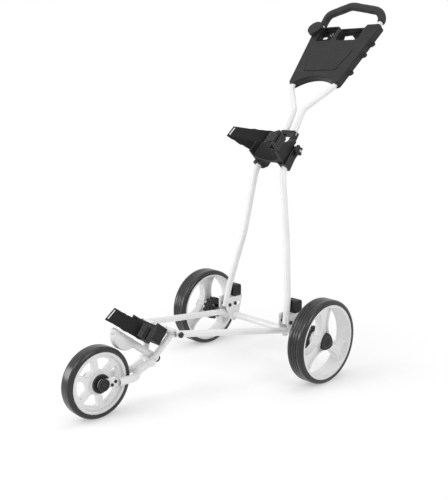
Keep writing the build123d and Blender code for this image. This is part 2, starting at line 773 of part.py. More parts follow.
def cradle(name, y, z, v_dir, half, back, wall, reach, low, high, arch, rise, notch):
    # A bag cradle: a back wall with an arched lower edge and two wings, hollowed in a wide curve.
    with BuildPart() as body:
        with BuildSketch(cross_view(y, z, v_dir, low)) as outline:
            with Locations((0, (back + reach) / 2)):
                Rectangle(2 * half, reach - back)
            fillet(outline.vertices().group_by(Axis.Y)[0], CRADLE_ROUND)
            with BuildLine():
                ThreePointArc(
                    (WING_T - half, back + wall + half / 3),
                    (0, back + wall),
                    (half - WING_T, back + wall + half / 3),
                )
                Polyline(
                    (half - WING_T, back + wall + half / 3),
                    (half - WING_T, reach + 1),
                    (WING_T - half, reach + 1),
                    (WING_T - half, back + wall + half / 3),
                )
            make_face(mode=Mode.SUBTRACT)
        extrude(amount=high + rise - low)
        if rise > 0:
            # The wings fall towards the front, and the handle knuckle has a notch in the back wall.
            with BuildSketch(side_view(-half, y, z, v_dir)):
                with BuildLine():
                    Polyline(
                        (high, reach + 1),
                        (high, reach),
                        (high + rise, back + wall + half / 6),
                        (high + rise + 1, reach + 1),
                        close=True,
                    )
                make_face()
            extrude(amount=2 * half, mode=Mode.SUBTRACT)
            with BuildSketch(side_view(-notch[0], y, z, v_dir)):
                with BuildLine():
                    Polyline(
                        (notch[1], back - 1),
                        (notch[1], reach),
                        (high + rise + 1, reach),
                        (high + rise + 1, back - 1),
                        close=True,
                    )
                make_face()
            extrude(amount=2 * notch[0], mode=Mode.SUBTRACT)
        # The arched lower edge of the back wall.
        arch_at = y - v_dir[2] * (back - 1)
        arch_up = z + v_dir[1] * (back - 1)
        arch_plane = Plane(
            origin=(0, arch_at + v_dir[1] * low, arch_up + v_dir[2] * low),
            x_dir=(1, 0, 0),
            z_dir=(0, v_dir[2], -v_dir[1]),
        )
        with BuildSketch(arch_plane):
            with BuildLine():
                ThreePointArc((-half * 0.6, 0), (0, arch), (half * 0.6, 0))
                Line((half * 0.6, 0), (-half * 0.6, 0))
            make_face()
        extrude(amount=-(half + wall), mode=Mode.SUBTRACT)
    save(body, name)


def buckle(name, lever_name, y, z, v_dir, half, reach, length, low, high, lever_len, drop):
    # A buckle on the front edge of the near wing, with ears and a pin, and its ridged lever.
    tall = high - low
    x_in = half - WING_T + BUCKLE_IN
    x_mid = x_in + BUCKLE_T / 2
    u_pin = reach + length + BUCKLE_EAR - LEVER_HUB_R - 1
    u_slant = u_pin + BUCKLE_T / 2 + EAR_PASS
    with BuildPart() as body:
        with BuildSketch(cross_view(y, z, v_dir, low)):
            with Locations((-x_mid, reach + length / 2)):
                Rectangle(BUCKLE_T, length)
        extrude(amount=tall)
        for start in (low, high - BUCKLE_EAR_T):
            with BuildSketch(cross_view(y, z, v_dir, start)):
                with Locations((-x_mid, (reach + length + u_pin) / 2)):
                    Rectangle(BUCKLE_T, u_pin - reach - length)
                with Locations((-x_mid, u_pin)):
                    Circle(BUCKLE_T / 2)
            extrude(amount=BUCKLE_EAR_T)
        with BuildSketch(cross_view(y, z, v_dir, low)):
            with Locations((-x_mid, u_pin)):
                Circle(BUCKLE_PIN_R)
        extrude(amount=tall)
        with BuildSketch(cross_view(y, z, v_dir, low)):
            with Locations((-x_in - BUCKLE_T, reach + length * 0.3), (-x_in - BUCKLE_T, reach + length * 0.7)):
                Rectangle(2, 3)
        extrude(amount=tall, mode=Mode.SUBTRACT)
    save(body, name)
    lever_low = low + BUCKLE_EAR_T + SIDE_PLAY
    lever_high = high - BUCKLE_EAR_T - SIDE_PLAY
    with BuildPart() as lever:
        with BuildSketch(cross_view(y, z, v_dir, lever_low)):
            with Locations((-x_mid, u_pin)):
                Circle(LEVER_HUB_R)
        extrude(amount=lever_high - lever_low)
        with BuildSketch(side_view(x_mid + 0.5, y, z, v_dir)):
            with BuildLine():
                Polyline(
                    (lever_low, u_pin),
                    (lever_high, u_pin),
                    (lever_high, u_slant),
                    (lever_high - drop, u_pin + lever_len),
                    (lever_low - drop, u_pin + lever_len),
                    (lever_low, u_slant),
                    close=True,
                )
            make_face()
        extrude(amount=LEVER_T)
        with BuildSketch(side_view(x_mid + 0.5 + LEVER_T, y, z, v_dir)):
            steps = int((lever_len - LEVER_HUB_R) / RIDGE_PITCH)
            for step in range(steps):
                u = u_pin + lever_len - (step + 0.6) * RIDGE_PITCH
                shift = drop * max(u - u_slant, 0) / (u_pin + lever_len - u_slant)
                with Locations(((lever_low + lever_high) / 2 - shift, u)):
                    Rectangle(lever_high - lever_low - 6, RIDGE_PITCH / 2)
        extrude(amount=-RIDGE_D, mode=Mode.SUBTRACT)
        with BuildSketch(cross_view(y, z, v_dir, lever_low)):
            with Locations((-x_mid, u_pin)):
                Circle(BUCKLE_PIN_R + RUN)
        extrude(amount=lever_high - lever_low, mode=Mode.SUBTRACT)
    save(lever, lever_name)


def strap(name, near, far, fold, width, tilt, u_dir, v_dir, half):
    # A flat webbing loop from wing to wing, folded sharply at the middle of the cart.
    across = (0, cos(radians(tilt)), sin(radians(tilt)))
    nose = (0, -across[2], across[1])
    root_x = half - WING_T - STRAP_T / 2 - COPE
    fold_mid = (fold[0] + across[1] * width / 2, fold[1] + across[2] * width / 2)
    with BuildPart() as body:
        for side, low in ((1, near), (-1, far)):
            root = (side * root_x, low[0] + v_dir[1] * width / 2, low[1] + v_dir[2] * width / 2)
            with BuildSketch(Plane(origin=root, x_dir=v_dir, z_dir=u_dir)):
                Rectangle(width, STRAP_T)
            with BuildSketch(Plane(origin=(side * STRAP_T / 2, *fold_mid), x_dir=across, z_dir=nose)):
                Rectangle(width, STRAP_T)
            loft(ruled=True)
        with BuildSketch(Plane(origin=(0, *fold), x_dir=(1, 0, 0), z_dir=across)):
            Circle(FOLD_R)
        extrude(amount=width)
    save(body, name)


cradle("upper_cradle", HEAD_Y, HEAD_Z, HEAD_V, UP_HALF, HEAD_LINE + HEAD_R, UP_WALL, UP_REACH,
       UP_LOW, UP_HIGH, UP_ARCH, UP_RISE, (HEAD_IN + 1, -KNUCKLE_HUB_R - UP_NOTCH_PLAY))
buckle("upper_buckle", "upper_lever", HEAD_Y, HEAD_Z, HEAD_V, UP_HALF, UP_REACH,
       UP_BUCKLE_LEN, UP_BUCKLE_LOW, UP_BUCKLE_HIGH, UP_LEVER_LEN, UP_LEVER_DROP)
strap("upper_strap", UP_STRAP_NEAR, UP_STRAP_FAR, UP_STRAP_FOLD, UP_STRAP_W, UP_STRAP_TILT,
      HEAD_U, HEAD_V, UP_HALF)
cradle("lower_cradle", LOW_Y, LOW_Z, LOW_V, LOW_HALF, LOW_BACK, LOW_WALL, LOW_REACH,
       0.0, LOW_HIGH, LOW_ARCH, 0, None)
buckle("lower_buckle", "lower_lever", LOW_Y, LOW_Z, LOW_V, LOW_HALF, LOW_REACH,
       LOW_BUCKLE_LEN, LOW_BUCKLE_LOW, LOW_BUCKLE_HIGH, LOW_LEVER_LEN, LOW_LEVER_DROP)
strap("lower_strap", LOW_STRAP_NEAR, LOW_STRAP_FAR, LOW_STRAP_FOLD, LOW_STRAP_W, LOW_STRAP_TILT,
      LOW_U, LOW_V, LOW_HALF)

# The clamp bolt through the head, with the star knob fixed on its near end and a nut on the far end.
KNOB_FROM = HEAD_OUT + SIDE_PLAY
with BuildPart() as clamp_bolt:
    with BuildSketch(yz(-HEAD_OUT - KNOB_BOLT_OUT, HEAD_Y, HEAD_Z)):
        Circle(CLAMP_BOLT_R)
    extrude(amount=2 * HEAD_OUT + 2 * KNOB_BOLT_OUT + SIDE_PLAY + KNOB_BOSS_T + KNOB_T)
    with BuildSketch(yz(-HEAD_OUT - KNOB_BOLT_OUT, HEAD_Y, HEAD_Z)):
        RegularPolygon(2 * CLAMP_BOLT_R, 6)
    extrude(amount=KNOB_BOLT_OUT - SIDE_PLAY)
save(clamp_bolt, "clamp_bolt")

with BuildPart() as clamp_knob:
    with BuildSketch(yz(KNOB_FROM, HEAD_Y, HEAD_Z)):
        Circle(KNOB_BOSS_R)
    extrude(amount=KNOB_BOSS_T)
    with BuildSketch(yz(KNOB_FROM + KNOB_BOSS_T, HEAD_Y, HEAD_Z)):
        Circle(KNOB_R)
        with PolarLocations(KNOB_R, KNOB_LOBES, start_angle=90):
            Circle(KNOB_LOBE_R)
    extrude(amount=KNOB_T)
    fillet(clamp_knob.faces().sort_by(Axis.X)[-1].edges(), 2)
    with BuildSketch(yz(KNOB_FROM, HEAD_Y, HEAD_Z)):
        Circle(CLAMP_BOLT_R + SEAT)
    extrude(amount=KNOB_BOSS_T + KNOB_T, mode=Mode.SUBTRACT)
save(clamp_knob, "clamp_knob")

# The handle tube, one bent tube from socket to socket.
HANDLE_POINTS = [
    HANDLE_START,
    HANDLE_NECK,
    HANDLE_SPREAD,
    HANDLE_ELBOW,
    HANDLE_CORNER,
    HANDLE_PEAK,
    mirrored(HANDLE_CORNER),
    mirrored(HANDLE_ELBOW),
    mirrored(HANDLE_SPREAD),
    mirrored(HANDLE_NECK),
    mirrored(HANDLE_START),
]
handle_tube = run_solid(HANDLE_POINTS, HANDLE_RADII, HANDLE_R, HANDLE_R - HANDLE_WALL)
save(handle_tube, "handle_tube")
handle_room = run_solid(HANDLE_POINTS, HANDLE_RADII, HANDLE_R + SEAT)

# The foam grip round the loop.
GRIP_RUN = tuple(HANDLE_ELBOW[i] - HANDLE_SPREAD[i] for i in range(3))
GRIP_RUN_LEN = (GRIP_RUN[0] ** 2 + GRIP_RUN[1] ** 2 + GRIP_RUN[2] ** 2) ** 0.5
GRIP_START = tuple(HANDLE_ELBOW[i] - GRIP_RUN[i] / GRIP_RUN_LEN * GRIP_BEFORE for i in range(3))
grip = run_solid(
    [
        GRIP_START,
        HANDLE_ELBOW,
        HANDLE_CORNER,
        HANDLE_PEAK,
        mirrored(HANDLE_CORNER),
        mirrored(HANDLE_ELBOW),
        mirrored(GRIP_START),
    ],
    HANDLE_RADII[2:7],
    GRIP_R,
    HANDLE_R + SEAT,
)
save(grip, "grip")

# The handle knuckle: a hub, two cheeks with an open window between them, and a bridge for the tubes.
SOCKET_RUN = (HANDLE_NECK[1] - HANDLE_START[1], HANDLE_NECK[2] - HANDLE_START[2])
SOCKET_LEN = (SOCKET_RUN[0] ** 2 + SOCKET_RUN[1] ** 2) ** 0.5
SOCKET_DIR = (0, SOCKET_RUN[0] / SOCKET_LEN, SOCKET_RUN[1] / SOCKET_LEN)
with BuildPart() as knuckle:
    with BuildSketch(yz(-KNUCKLE_HALF, HEAD_Y, HEAD_Z)):
        Circle(KNUCKLE_HUB_R)
    extrude(amount=2 * KNUCKLE_HALF)
    with BuildSketch(yz(-KNUCKLE_HALF)):
        with BuildLine():
            Polyline(
                (HEAD_Y + KNUCKLE_HUB_R * 0.7, HEAD_Z - KNUCKLE_HUB_R * 0.7),
                (HANDLE_START[1] + SOCKET_DIR[2] * KNUCKLE_TOP_R,
                 HANDLE_START[2] - SOCKET_DIR[1] * KNUCKLE_TOP_R),
                (HANDLE_START[1] + SOCKET_DIR[2] * KNUCKLE_TOP_R + SOCKET_DIR[1] * KNUCKLE_LEN,
                 HANDLE_START[2] - SOCKET_DIR[1] * KNUCKLE_TOP_R + SOCKET_DIR[2] * KNUCKLE_LEN),
                (HANDLE_START[1] - SOCKET_DIR[2] * KNUCKLE_TOP_R + SOCKET_DIR[1] * KNUCKLE_LEN,
                 HANDLE_START[2] + SOCKET_DIR[1] * KNUCKLE_TOP_R + SOCKET_DIR[2] * KNUCKLE_LEN),
                (HEAD_Y - KNUCKLE_HUB_R * 0.7, HEAD_Z + KNUCKLE_HUB_R * 0.7),
                close=True,
            )
        make_face()
    extrude(amount=2 * KNUCKLE_HALF)
    # The window between hub and bridge.
    window_half = KNUCKLE_HALF - KNUCKLE_CHEEK
    window_at = Plane(
        origin=(0, HEAD_Y + SOCKET_DIR[1] * KNUCKLE_WINDOW, HEAD_Z + SOCKET_DIR[2] * KNUCKLE_WINDOW),
        x_dir=(1, 0, 0),
        z_dir=SOCKET_DIR,
    )
    start_run = (HANDLE_START[1] - HEAD_Y) * SOCKET_DIR[1] + (HANDLE_START[2] - HEAD_Z) * SOCKET_DIR[2]
    with BuildSketch(window_at):
        Rectangle(2 * window_half, 6 * KNUCKLE_TOP_R)
    extrude(amount=start_run - 2 - KNUCKLE_WINDOW, mode=Mode.SUBTRACT)
    add(handle_room.part, mode=Mode.SUBTRACT)
    with BuildSketch(yz(-KNUCKLE_HALF, HEAD_Y, HEAD_Z)):
        Circle(CLAMP_BOLT_R + RUN)
    extrude(amount=2 * KNUCKLE_HALF, mode=Mode.SUBTRACT)
save(knuckle, "handle_knuckle")

# The console plane. W runs up along the tubes and N looks forward and up.
CON_RUN = (GRIP_RUN[1] ** 2 + GRIP_RUN[2] ** 2) ** 0.5
CON_W = (0, GRIP_RUN[1] / CON_RUN, GRIP_RUN[2] / CON_RUN)
CON_N = (0, -CON_W[2], CON_W[1])


def console_plane(depth):
    place = (0, HANDLE_SPREAD[1] + CON_N[1] * depth, HANDLE_SPREAD[2] + CON_N[2] * depth)
    return Plane(origin=place, x_dir=(1, 0, 0), z_dir=CON_N)


def console_edge(w):
    # Half width of the console at a height along W.
    share = (w - CON_LOW) / (CON_HIGH - CON_LOW)
    return CON_LOW_HALF + share * (CON_HIGH_HALF - CON_LOW_HALF)


def console_outline():
    with BuildSketch() as outline:
        with BuildLine():
            ThreePointArc((20 - CON_LOW_HALF, CON_LOW), (0, CON_ARCH), (CON_LOW_HALF - 20, CON_LOW))
            Polyline(
                (CON_LOW_HALF - 20, CON_LOW),
                (CON_LOW_HALF, CON_LOW),
                (CON_HIGH_HALF, CON_HIGH),
                (CON_DIP_LEFT + 5, CON_HIGH),
                (CON_DIP_LEFT, CON_HIGH - CON_DIP),
                (CON_DIP_RIGHT, CON_HIGH - CON_DIP),
                (CON_DIP_RIGHT - 5, CON_HIGH),
                (-CON_HIGH_HALF, CON_HIGH),
                (-CON_LOW_HALF, CON_LOW),
                (20 - CON_LOW_HALF, CON_LOW),
            )
        make_face()
        corners = outline.vertices().filter_by(lambda v: abs(v.X) > CON_LOW_HALF - 1)
        fillet(corners, CON_CORNER)
    return outline.sketch


def lid_outline(grow):
    with BuildSketch() as outline:
        with BuildLine():
            Polyline(
                (-LID_LOW_HALF - grow, LID_LOW - grow),
                (LID_LOW_HALF + grow, LID_LOW - grow),
                (LID_HIGH_HALF + grow, LID_HIGH + grow),
                (-LID_HIGH_HALF - grow, LID_HIGH + grow),
                close=True,
            )
        make_face()
        fillet(outline.vertices().group_by(Axis.Y)[0], LID_ROUND)
    return outline.sketch


CON_FACE = console_outline()

# The rear shell, hollow inside, with three hook eyes on each side.
with BuildPart() as console_back:
    with BuildSketch(console_plane(-CON_DEPTH)):
        add(CON_FACE)
    extrude(amount=CON_DEPTH)
    with BuildSketch(console_plane(-CON_DEPTH / 2 - EYE_T / 2)):
        for w in EYE_PLACES:
            with Locations((console_edge(w) + EYE_R * 0.5, w), (-console_edge(w) - EYE_R * 0.5, w)):
                Circle(EYE_R)
    extrude(amount=EYE_T)
    with BuildSketch(console_plane(-CON_DEPTH / 2 - EYE_T / 2)):
        for w in EYE_PLACES:
            with Locations((console_edge(w) + EYE_R * 0.5, w), (-console_edge(w) - EYE_R * 0.5, w)):
                Circle(EYE_HOLE_R)
    extrude(amount=EYE_T, mode=Mode.SUBTRACT)
    with BuildSketch(console_plane(0)):
        with BuildLine():
            Polyline(
                (-CON_CAVITY_HALF + 14, CON_CAVITY_LOW),
                (CON_CAVITY_HALF - 14, CON_CAVITY_LOW),
                (CON_CAVITY_HALF, CON_CAVITY_HIGH),
                (-CON_CAVITY_HALF, CON_CAVITY_HIGH),
                close=True,
            )
        make_face()
    extrude(amount=-CON_CAVITY_D, mode=Mode.SUBTRACT)
    add(handle_room.part, mode=Mode.SUBTRACT)
    with BuildSketch(console_plane(0)):
        with Locations((TRAY_X, TRAY_W)):
            RectangleRounded(TRAY_LEN, TRAY_WIDE, TRAY_ROUND)
        with Locations((TEE_X, TEE_W)):
            RectangleRounded(TEE_LEN, TEE_WIDE, TEE_ROUND)
    extrude(amount=FLOOR_T - CON_DEPTH, mode=Mode.SUBTRACT)
    with BuildSketch(console_plane(-CON_DEPTH)):
        with Locations((SLOT_X, SLOT_W)):
            SlotOverall(SLOT_LEN, SLOT_WIDE)
        with BuildLine():
            Polyline(*TRAY_HOLE, close=True)
        make_face()
        with Locations((TEE_CLUSTER_X, TEE_CLUSTER_W)):
            with PolarLocations(TEE_CLUSTER_R, TEE_CLUSTER):
                Circle(TEE_R)
        with Locations(*CON_SCREWS):
            Circle(CON_SCREW_R + SEAT)
    extrude(amount=CON_DEPTH, mode=Mode.SUBTRACT)
save(console_back, "console_back")

# The front shell with the lid pocket, the ball tray, the tee holes and the slots.
with BuildPart() as console_front:
    with BuildSketch(console_plane(0)):
        add(CON_FACE)
    extrude(amount=CON_DEPTH)
    top = console_front.faces().sort_by(Axis((0, 0, 0), CON_N))[-1]
    chamfer(top.outer_wire().edges(), CON_EDGE, CON_EDGE_WIDE, reference=top)
    add(handle_room.part, mode=Mode.SUBTRACT)
    with BuildSketch(console_plane(CON_DEPTH)):
        add(lid_outline(LID_GAP))
    extrude(amount=-LID_POCKET, mode=Mode.SUBTRACT)
    pin_depth = CON_DEPTH + LID_PROUD - LID_T / 2 - LID_PIN_R / 2
    pin_place = (
        LID_PIN_W * CON_W[1] + pin_depth * CON_N[1] + HANDLE_SPREAD[1],
        LID_PIN_W * CON_W[2] + pin_depth * CON_N[2] + HANDLE_SPREAD[2],
    )
    lid_pin_half = LID_HIGH_HALF + LID_PIN_OUT
    with BuildSketch(yz(-lid_pin_half - SIDE_PLAY, *pin_place)):
        Circle(LID_PIN_R + RUN)
    extrude(amount=2 * lid_pin_half + 2 * SIDE_PLAY, mode=Mode.SUBTRACT)
    with BuildSketch(console_plane(0)):
        with Locations((TRAY_X, TRAY_W)):
            RectangleRounded(TRAY_LEN, TRAY_WIDE, TRAY_ROUND)
        with Locations((TEE_X, TEE_W)):
            RectangleRounded(TEE_LEN, TEE_WIDE, TEE_ROUND)
    extrude(amount=CON_DEPTH, mode=Mode.SUBTRACT)
    with BuildSketch(console_plane(CON_DEPTH)):
        for step in range(TEE_ROW):
            w = TEE_ROW_LOW + step * TEE_ROW_PITCH
            with Locations((-console_edge(w) + TEE_INSET, w)):
                Circle(TEE_R)
    extrude(amount=-TEE_D, mode=Mode.SUBTRACT)
    with BuildSketch(console_plane(0)):
        with Locations(*CON_SCREWS):
            Circle(CON_SCREW_R + SEAT)
    extrude(amount=CON_SCREW_LEN - CON_DEPTH + 1, mode=Mode.SUBTRACT)
save(console_front, "console_front")

# Four screws from behind that hold the two shells together.
with BuildPart() as console_screws:
    with BuildSketch(console_plane(-CON_DEPTH)):
        with Locations(*CON_SCREWS):
            Circle(CON_SCREW_R)
    extrude(amount=CON_SCREW_LEN)
    with BuildSketch(console_plane(-CON_DEPTH)):
        with Locations(*CON_SCREWS):
            Circle(CON_SCREW_HEAD_R)
    extrude(amount=-CON_SCREW_HEAD_T)
save(console_screws, "console_screws")

# The lid on its moulded pins.
with BuildPart() as lid:
    with BuildSketch(console_plane(CON_DEPTH + LID_PROUD - LID_T)):
        add(lid_outline(0))
    extrude(amount=LID_T)
    with BuildSketch(yz(-lid_pin_half, *pin_place)):
        Circle(LID_PIN_R)
    extrude(amount=2 * lid_pin_half)
save(lid, "console_lid")

# The round accessory socket at the far top corner of the console.
with BuildPart() as socket:
    with BuildSketch(console_plane(CON_DEPTH)):
        with Locations((SOCKET_X, SOCKET_W)):
            Circle(SOCKET_R)
    extrude(amount=SOCKET_T)
    fillet(socket.faces().sort_by(Axis((0, 0, 0), CON_N))[-1].edges(), 3)
    with BuildSketch(console_plane(CON_DEPTH + SOCKET_T)):
        with Locations((SOCKET_X, SOCKET_W)):
            Circle(SOCKET_BORE_R)
    extrude(amount=-SOCKET_BORE_D, mode=Mode.SUBTRACT)
save(socket, "accessory_socket")

# The front hinge sleeve on the hinge pin.
with BuildPart() as sleeve:
    with BuildSketch(yz(-SLEEVE_HALF, HINGE_Y, HINGE_Z)):
        Circle(SLEEVE_R)
        Circle(HINGE_PIN_R + RUN, mode=Mode.SUBTRACT)
    extrude(amount=2 * SLEEVE_HALF)
save(sleeve, "hinge_sleeve")

# The bag rest line.
REST_U = (0, -cos(radians(REST_LEAN)), sin(radians(REST_LEAN)))


def rest_point(along):
    return (0, REST_Y + REST_U[1] * along, REST_Z + REST_U[2] * along)


# The bag rest tube with a plug in its lower end.
with BuildPart() as rest_tube:
    add(run_solid([rest_point(-REST_BACK), rest_point(REST_FRONT)], [], REST_R, REST_R - REST_WALL).part)
    with Locations(Location(rest_point(REST_FRONT))):
        Sphere(REST_R)
save(rest_tube, "rest_tube")

with BuildPart() as rest_plug:
    with BuildSketch(Plane(origin=rest_point(-REST_BACK), x_dir=(1, 0, 0), z_dir=REST_U)):
        Circle(REST_R)
    extrude(amount=-REST_PLUG_T)
    fillet(rest_plug.faces().sort_by(Axis((0, 0, 0), REST_U))[0].edges(), 3)
    with BuildSketch(Plane(origin=rest_point(-REST_BACK), x_dir=(1, 0, 0), z_dir=REST_U)):
        Circle(REST_R - REST_WALL - SEAT)
    extrude(amount=REST_PLUG_T)
save(rest_plug, "rest_plug")

# The rounded foot that hangs under the tip of the bag rest.
with BuildPart() as rest_foot:
    foot_plane = Plane(origin=(-FOOT_HALF, REST_Y, REST_Z), x_dir=REST_U, z_dir=(-1, 0, 0))
    with BuildSketch(foot_plane.offset(-2 * FOOT_HALF)) as outline:
        with BuildLine():
            ThreePointArc((FOOT_FROM, 0), ((FOOT_FROM + FOOT_TO) / 2, -FOOT_DROP), (FOOT_TO, 0))
            Line((FOOT_TO, 0), (FOOT_FROM, 0))
        make_face()
    extrude(amount=2 * FOOT_HALF)
    low_edges = rest_foot.edges().filter_by(GeomType.CIRCLE)
    fillet(low_edges, FOOT_ROUND)
    add(
        run_solid([rest_point(0), rest_point(REST_FRONT + 10)], [], REST_R + COPE).part,
        mode=Mode.SUBTRACT,
    )
save(rest_foot, "rest_foot")

# The crown, a short solid cross bar under the bag rest.
with BuildPart() as crown:
    with BuildSketch(yz(-CROWN_HALF, CROWN_Y, CROWN_Z)):
        Circle(CROWN_R)
    extrude(amount=2 * CROWN_HALF)
    fillet(crown.edges(), CROWN_ROUND)
    add(
        run_solid([rest_point(-REST_BACK), rest_point(REST_FRONT)], [], REST_R + COPE).part,
        mode=Mode.SUBTRACT,
    )
save(crown, "crown")

# Yoke legs from the crown up to the hinge sleeve, shaped to both.
with BuildPart() as yoke_legs:
    for side in (1, -1):
        add(
            run_solid(
                [(side * LEG_LOW_X, CROWN_Y, CROWN_Z), (side * LEG_HIGH_X, HINGE_Y, HINGE_Z)],
                [],
                LEG_R,
                LEG_R - LEG_WALL,
            ).part
        )
    with BuildSketch(yz(-2 * CROWN_HALF, CROWN_Y, CROWN_Z)):
        Circle(CROWN_R + COPE)
    extrude(amount=4 * CROWN_HALF, mode=Mode.SUBTRACT)
    with BuildSketch(yz(-2 * SLEEVE_HALF, HINGE_Y, HINGE_Z)):
        Circle(SLEEVE_R + COPE)
    extrude(amount=4 * SLEEVE_HALF, mode=Mode.SUBTRACT)
    add(
        run_solid([rest_point(-REST_BACK - 20), rest_point(REST_FRONT)], [], REST_R + COPE).part,
        mode=Mode.SUBTRACT,
    )
save(yoke_legs, "yoke_legs")

# Fork tubes from the crown round the front wheel, with flat drop-outs on the axle.
for side, word in ((1, "left"), (-1, "right")):
    with BuildPart() as fork:
        add(
            run_solid(
                [
                    (side * FORK_X, CROWN_Y, CROWN_Z),
                    (side * FORK_X, FORK_BEND_Y, FORK_BEND_Z),
                    (side * FORK_OUT_X, FORK_OUT_Y, FORK_OUT_Z),
                    (side * FORK_OUT_X, FORK_END_Y, FORK_END_Z),
                ],
                [FORK_BEND_R, FORK_BEND_R],
                FORK_R,
                FORK_R - FORK_WALL,
            ).part
        )
        with BuildSketch(yz_slab(side, DROP_IN, DROP_IN + DROP_T)):
            with BuildLine():
                Polyline(
                    (FORK_END_Y + 16, FORK_END_Z - FORK_R + 1.5),
                    (FORK_END_Y + 16, FORK_END_Z + FORK_R - 2.5),
                    (-WHEELBASE, FRONT_R + DROP_R),
                    (-WHEELBASE, FRONT_R - DROP_R),
                    close=True,
                )
            make_face()
            with Locations((-WHEELBASE, FRONT_R)):
                Circle(DROP_R)
        extrude(amount=DROP_T)
        with BuildSketch(yz_slab(side, DROP_IN - 1, DROP_IN + DROP_T + 1)):
            with Locations((-WHEELBASE, FRONT_R)):
                Circle(FRONT_AXLE_R + SEAT)
            with Locations(SCREW_A, SCREW_B):
                Circle(SCREW_R + SEAT)
        extrude(amount=DROP_T + 2, mode=Mode.SUBTRACT)
        with BuildSketch(yz(-2 * CROWN_HALF, CROWN_Y, CROWN_Z)):
            Circle(CROWN_R + COPE)
        extrude(amount=4 * CROWN_HALF, mode=Mode.SUBTRACT)
    save(fork, "fork_" + word)

# Small screws through the drop-outs.
with BuildPart() as fork_screws:
    for side in (1, -1):
        with BuildSketch(yz_slab(side, DROP_IN, DROP_IN + DROP_T)):
            with Locations(SCREW_A, SCREW_B):
                Circle(SCREW_R)
        extrude(amount=DROP_T)
        with BuildSketch(yz_slab(side, DROP_IN + DROP_T, DROP_IN + DROP_T + SCREW_HEAD_T)):
            with Locations(SCREW_A, SCREW_B):
                Circle(SCREW_HEAD_R)
        extrude(amount=SCREW_HEAD_T)
save(fork_screws, "fork_screws")

# The front axle and its nuts.
FRONT_AXLE_HALF = DROP_IN + DROP_T + FRONT_NUT_T - 1
with BuildPart() as front_axle:
    with BuildSketch(yz(-FRONT_AXLE_HALF, -WHEELBASE, FRONT_R)):
        Circle(FRONT_AXLE_R)
    extrude(amount=2 * FRONT_AXLE_HALF)
save(front_axle, "front_axle")

with BuildPart() as front_axle_nuts:
    for side in (1, -1):
        x_from = DROP_IN + DROP_T
        with BuildSketch(yz_slab(side, x_from, x_from + FRONT_NUT_T, -WHEELBASE, FRONT_R)):
            Circle(FRONT_NUT_R)
        extrude(amount=FRONT_NUT_T)
        with BuildSketch(yz_slab(side, x_from, x_from + FRONT_NUT_T - 1, -WHEELBASE, FRONT_R)):
            Circle(FRONT_AXLE_R + SEAT)
        extrude(amount=FRONT_NUT_T - 1, mode=Mode.SUBTRACT)
save(front_axle_nuts, "front_axle_nuts")

# The white web plates that carry the lower cradle on the hinge sleeve.
with BuildPart() as cradle_webs:
    back_y = LOW_Y + LOW_U[1] * LOW_BACK
    back_z = LOW_Z + LOW_U[2] * LOW_BACK
    for side in (1, -1):
        with BuildSketch(yz_slab(side, WEB_IN, WEB_IN + WEB_T)):
            with BuildLine():
                Polyline(
                    (back_y + LOW_V[1] * 10, back_z + LOW_V[2] * 10),
                    (back_y + LOW_V[1] * (LOW_HIGH - 3), back_z + LOW_V[2] * (LOW_HIGH - 3)),
                    (HINGE_Y - 2, HINGE_Z + SLEEVE_R + 4),
                    (HINGE_Y, HINGE_Z),
                    (HINGE_Y - SLEEVE_R - 2, HINGE_Z - SLEEVE_R - 6),
                    close=True,
                )
            make_face()
            with Locations((HINGE_Y, HINGE_Z)):
                Circle(SLEEVE_R + COPE, mode=Mode.SUBTRACT)
            with Locations(((back_y + HINGE_Y) / 2 - 1, (back_z + HINGE_Z) / 2 + 8)):
                Circle(WEB_HOLE_R, mode=Mode.SUBTRACT)
        extrude(amount=WEB_T)
save(cradle_webs, "cradle_webs")

# The front wheel.
tyre("front_tyre", (0, -WHEELBASE, FRONT_R), 1, FRONT_R, FRONT_TYRE_W, FRONT_TYRE_T, FRONT_SHOULDER)
FRONT_RIM_R = FRONT_R - FRONT_TYRE_T - SEAT


def front_face(offset):
    return yz(offset, -WHEELBASE, FRONT_R)


with BuildSketch() as front_window:
    half_pitch = 180 / FRONT_SPOKE_COUNT
    turn_in = radians(half_pitch) - asin(FRONT_SPOKE_W / 2 / FRONT_WINDOW_IN)
    turn_out = radians(half_pitch) - asin(FRONT_SPOKE_W / 2 / FRONT_BAND_R)
    with BuildLine():
        low_in = (FRONT_WINDOW_IN * cos(turn_in), -FRONT_WINDOW_IN * sin(turn_in))
        high_in = (low_in[0], -low_in[1])
        low_out = (FRONT_BAND_R * cos(turn_out), -FRONT_BAND_R * sin(turn_out))
        high_out = (low_out[0], -low_out[1])
        Polyline(low_out, low_in, high_in, high_out)
        ThreePointArc(low_out, (FRONT_BAND_R, 0), high_out)
    make_face()
    fillet(front_window.vertices(), FRONT_WINDOW_ROUND)
FRONT_WINDOW = front_window.sketch

with BuildPart() as front_rim:
    with BuildSketch(front_face(-FRONT_RIM_W / 2)):
        Circle(FRONT_RIM_R)
        Circle(FRONT_RIM_R - FRONT_RIM_WALL, mode=Mode.SUBTRACT)
    extrude(amount=FRONT_RIM_W)
    with BuildSketch(front_face(-FRONT_BAND_T / 2)):
        Circle(FRONT_RIM_R - FRONT_RIM_WALL / 2)
        with PolarLocations(0, FRONT_SPOKE_COUNT, start_angle=FRONT_SPOKE_TURN + 180 / FRONT_SPOKE_COUNT):
            add(FRONT_WINDOW, mode=Mode.SUBTRACT)
    extrude(amount=FRONT_BAND_T)
    with BuildSketch(front_face(-FRONT_HUB_LEN / 2)):
        Circle(FRONT_HUB_R)
    extrude(amount=FRONT_HUB_LEN)
    with BuildSketch(front_face(-FRONT_HUB_LEN / 2)):
        Circle(FRONT_BEARING_R + SEAT)
    extrude(amount=FRONT_HUB_LEN, mode=Mode.SUBTRACT)
save(front_rim, "front_rim")

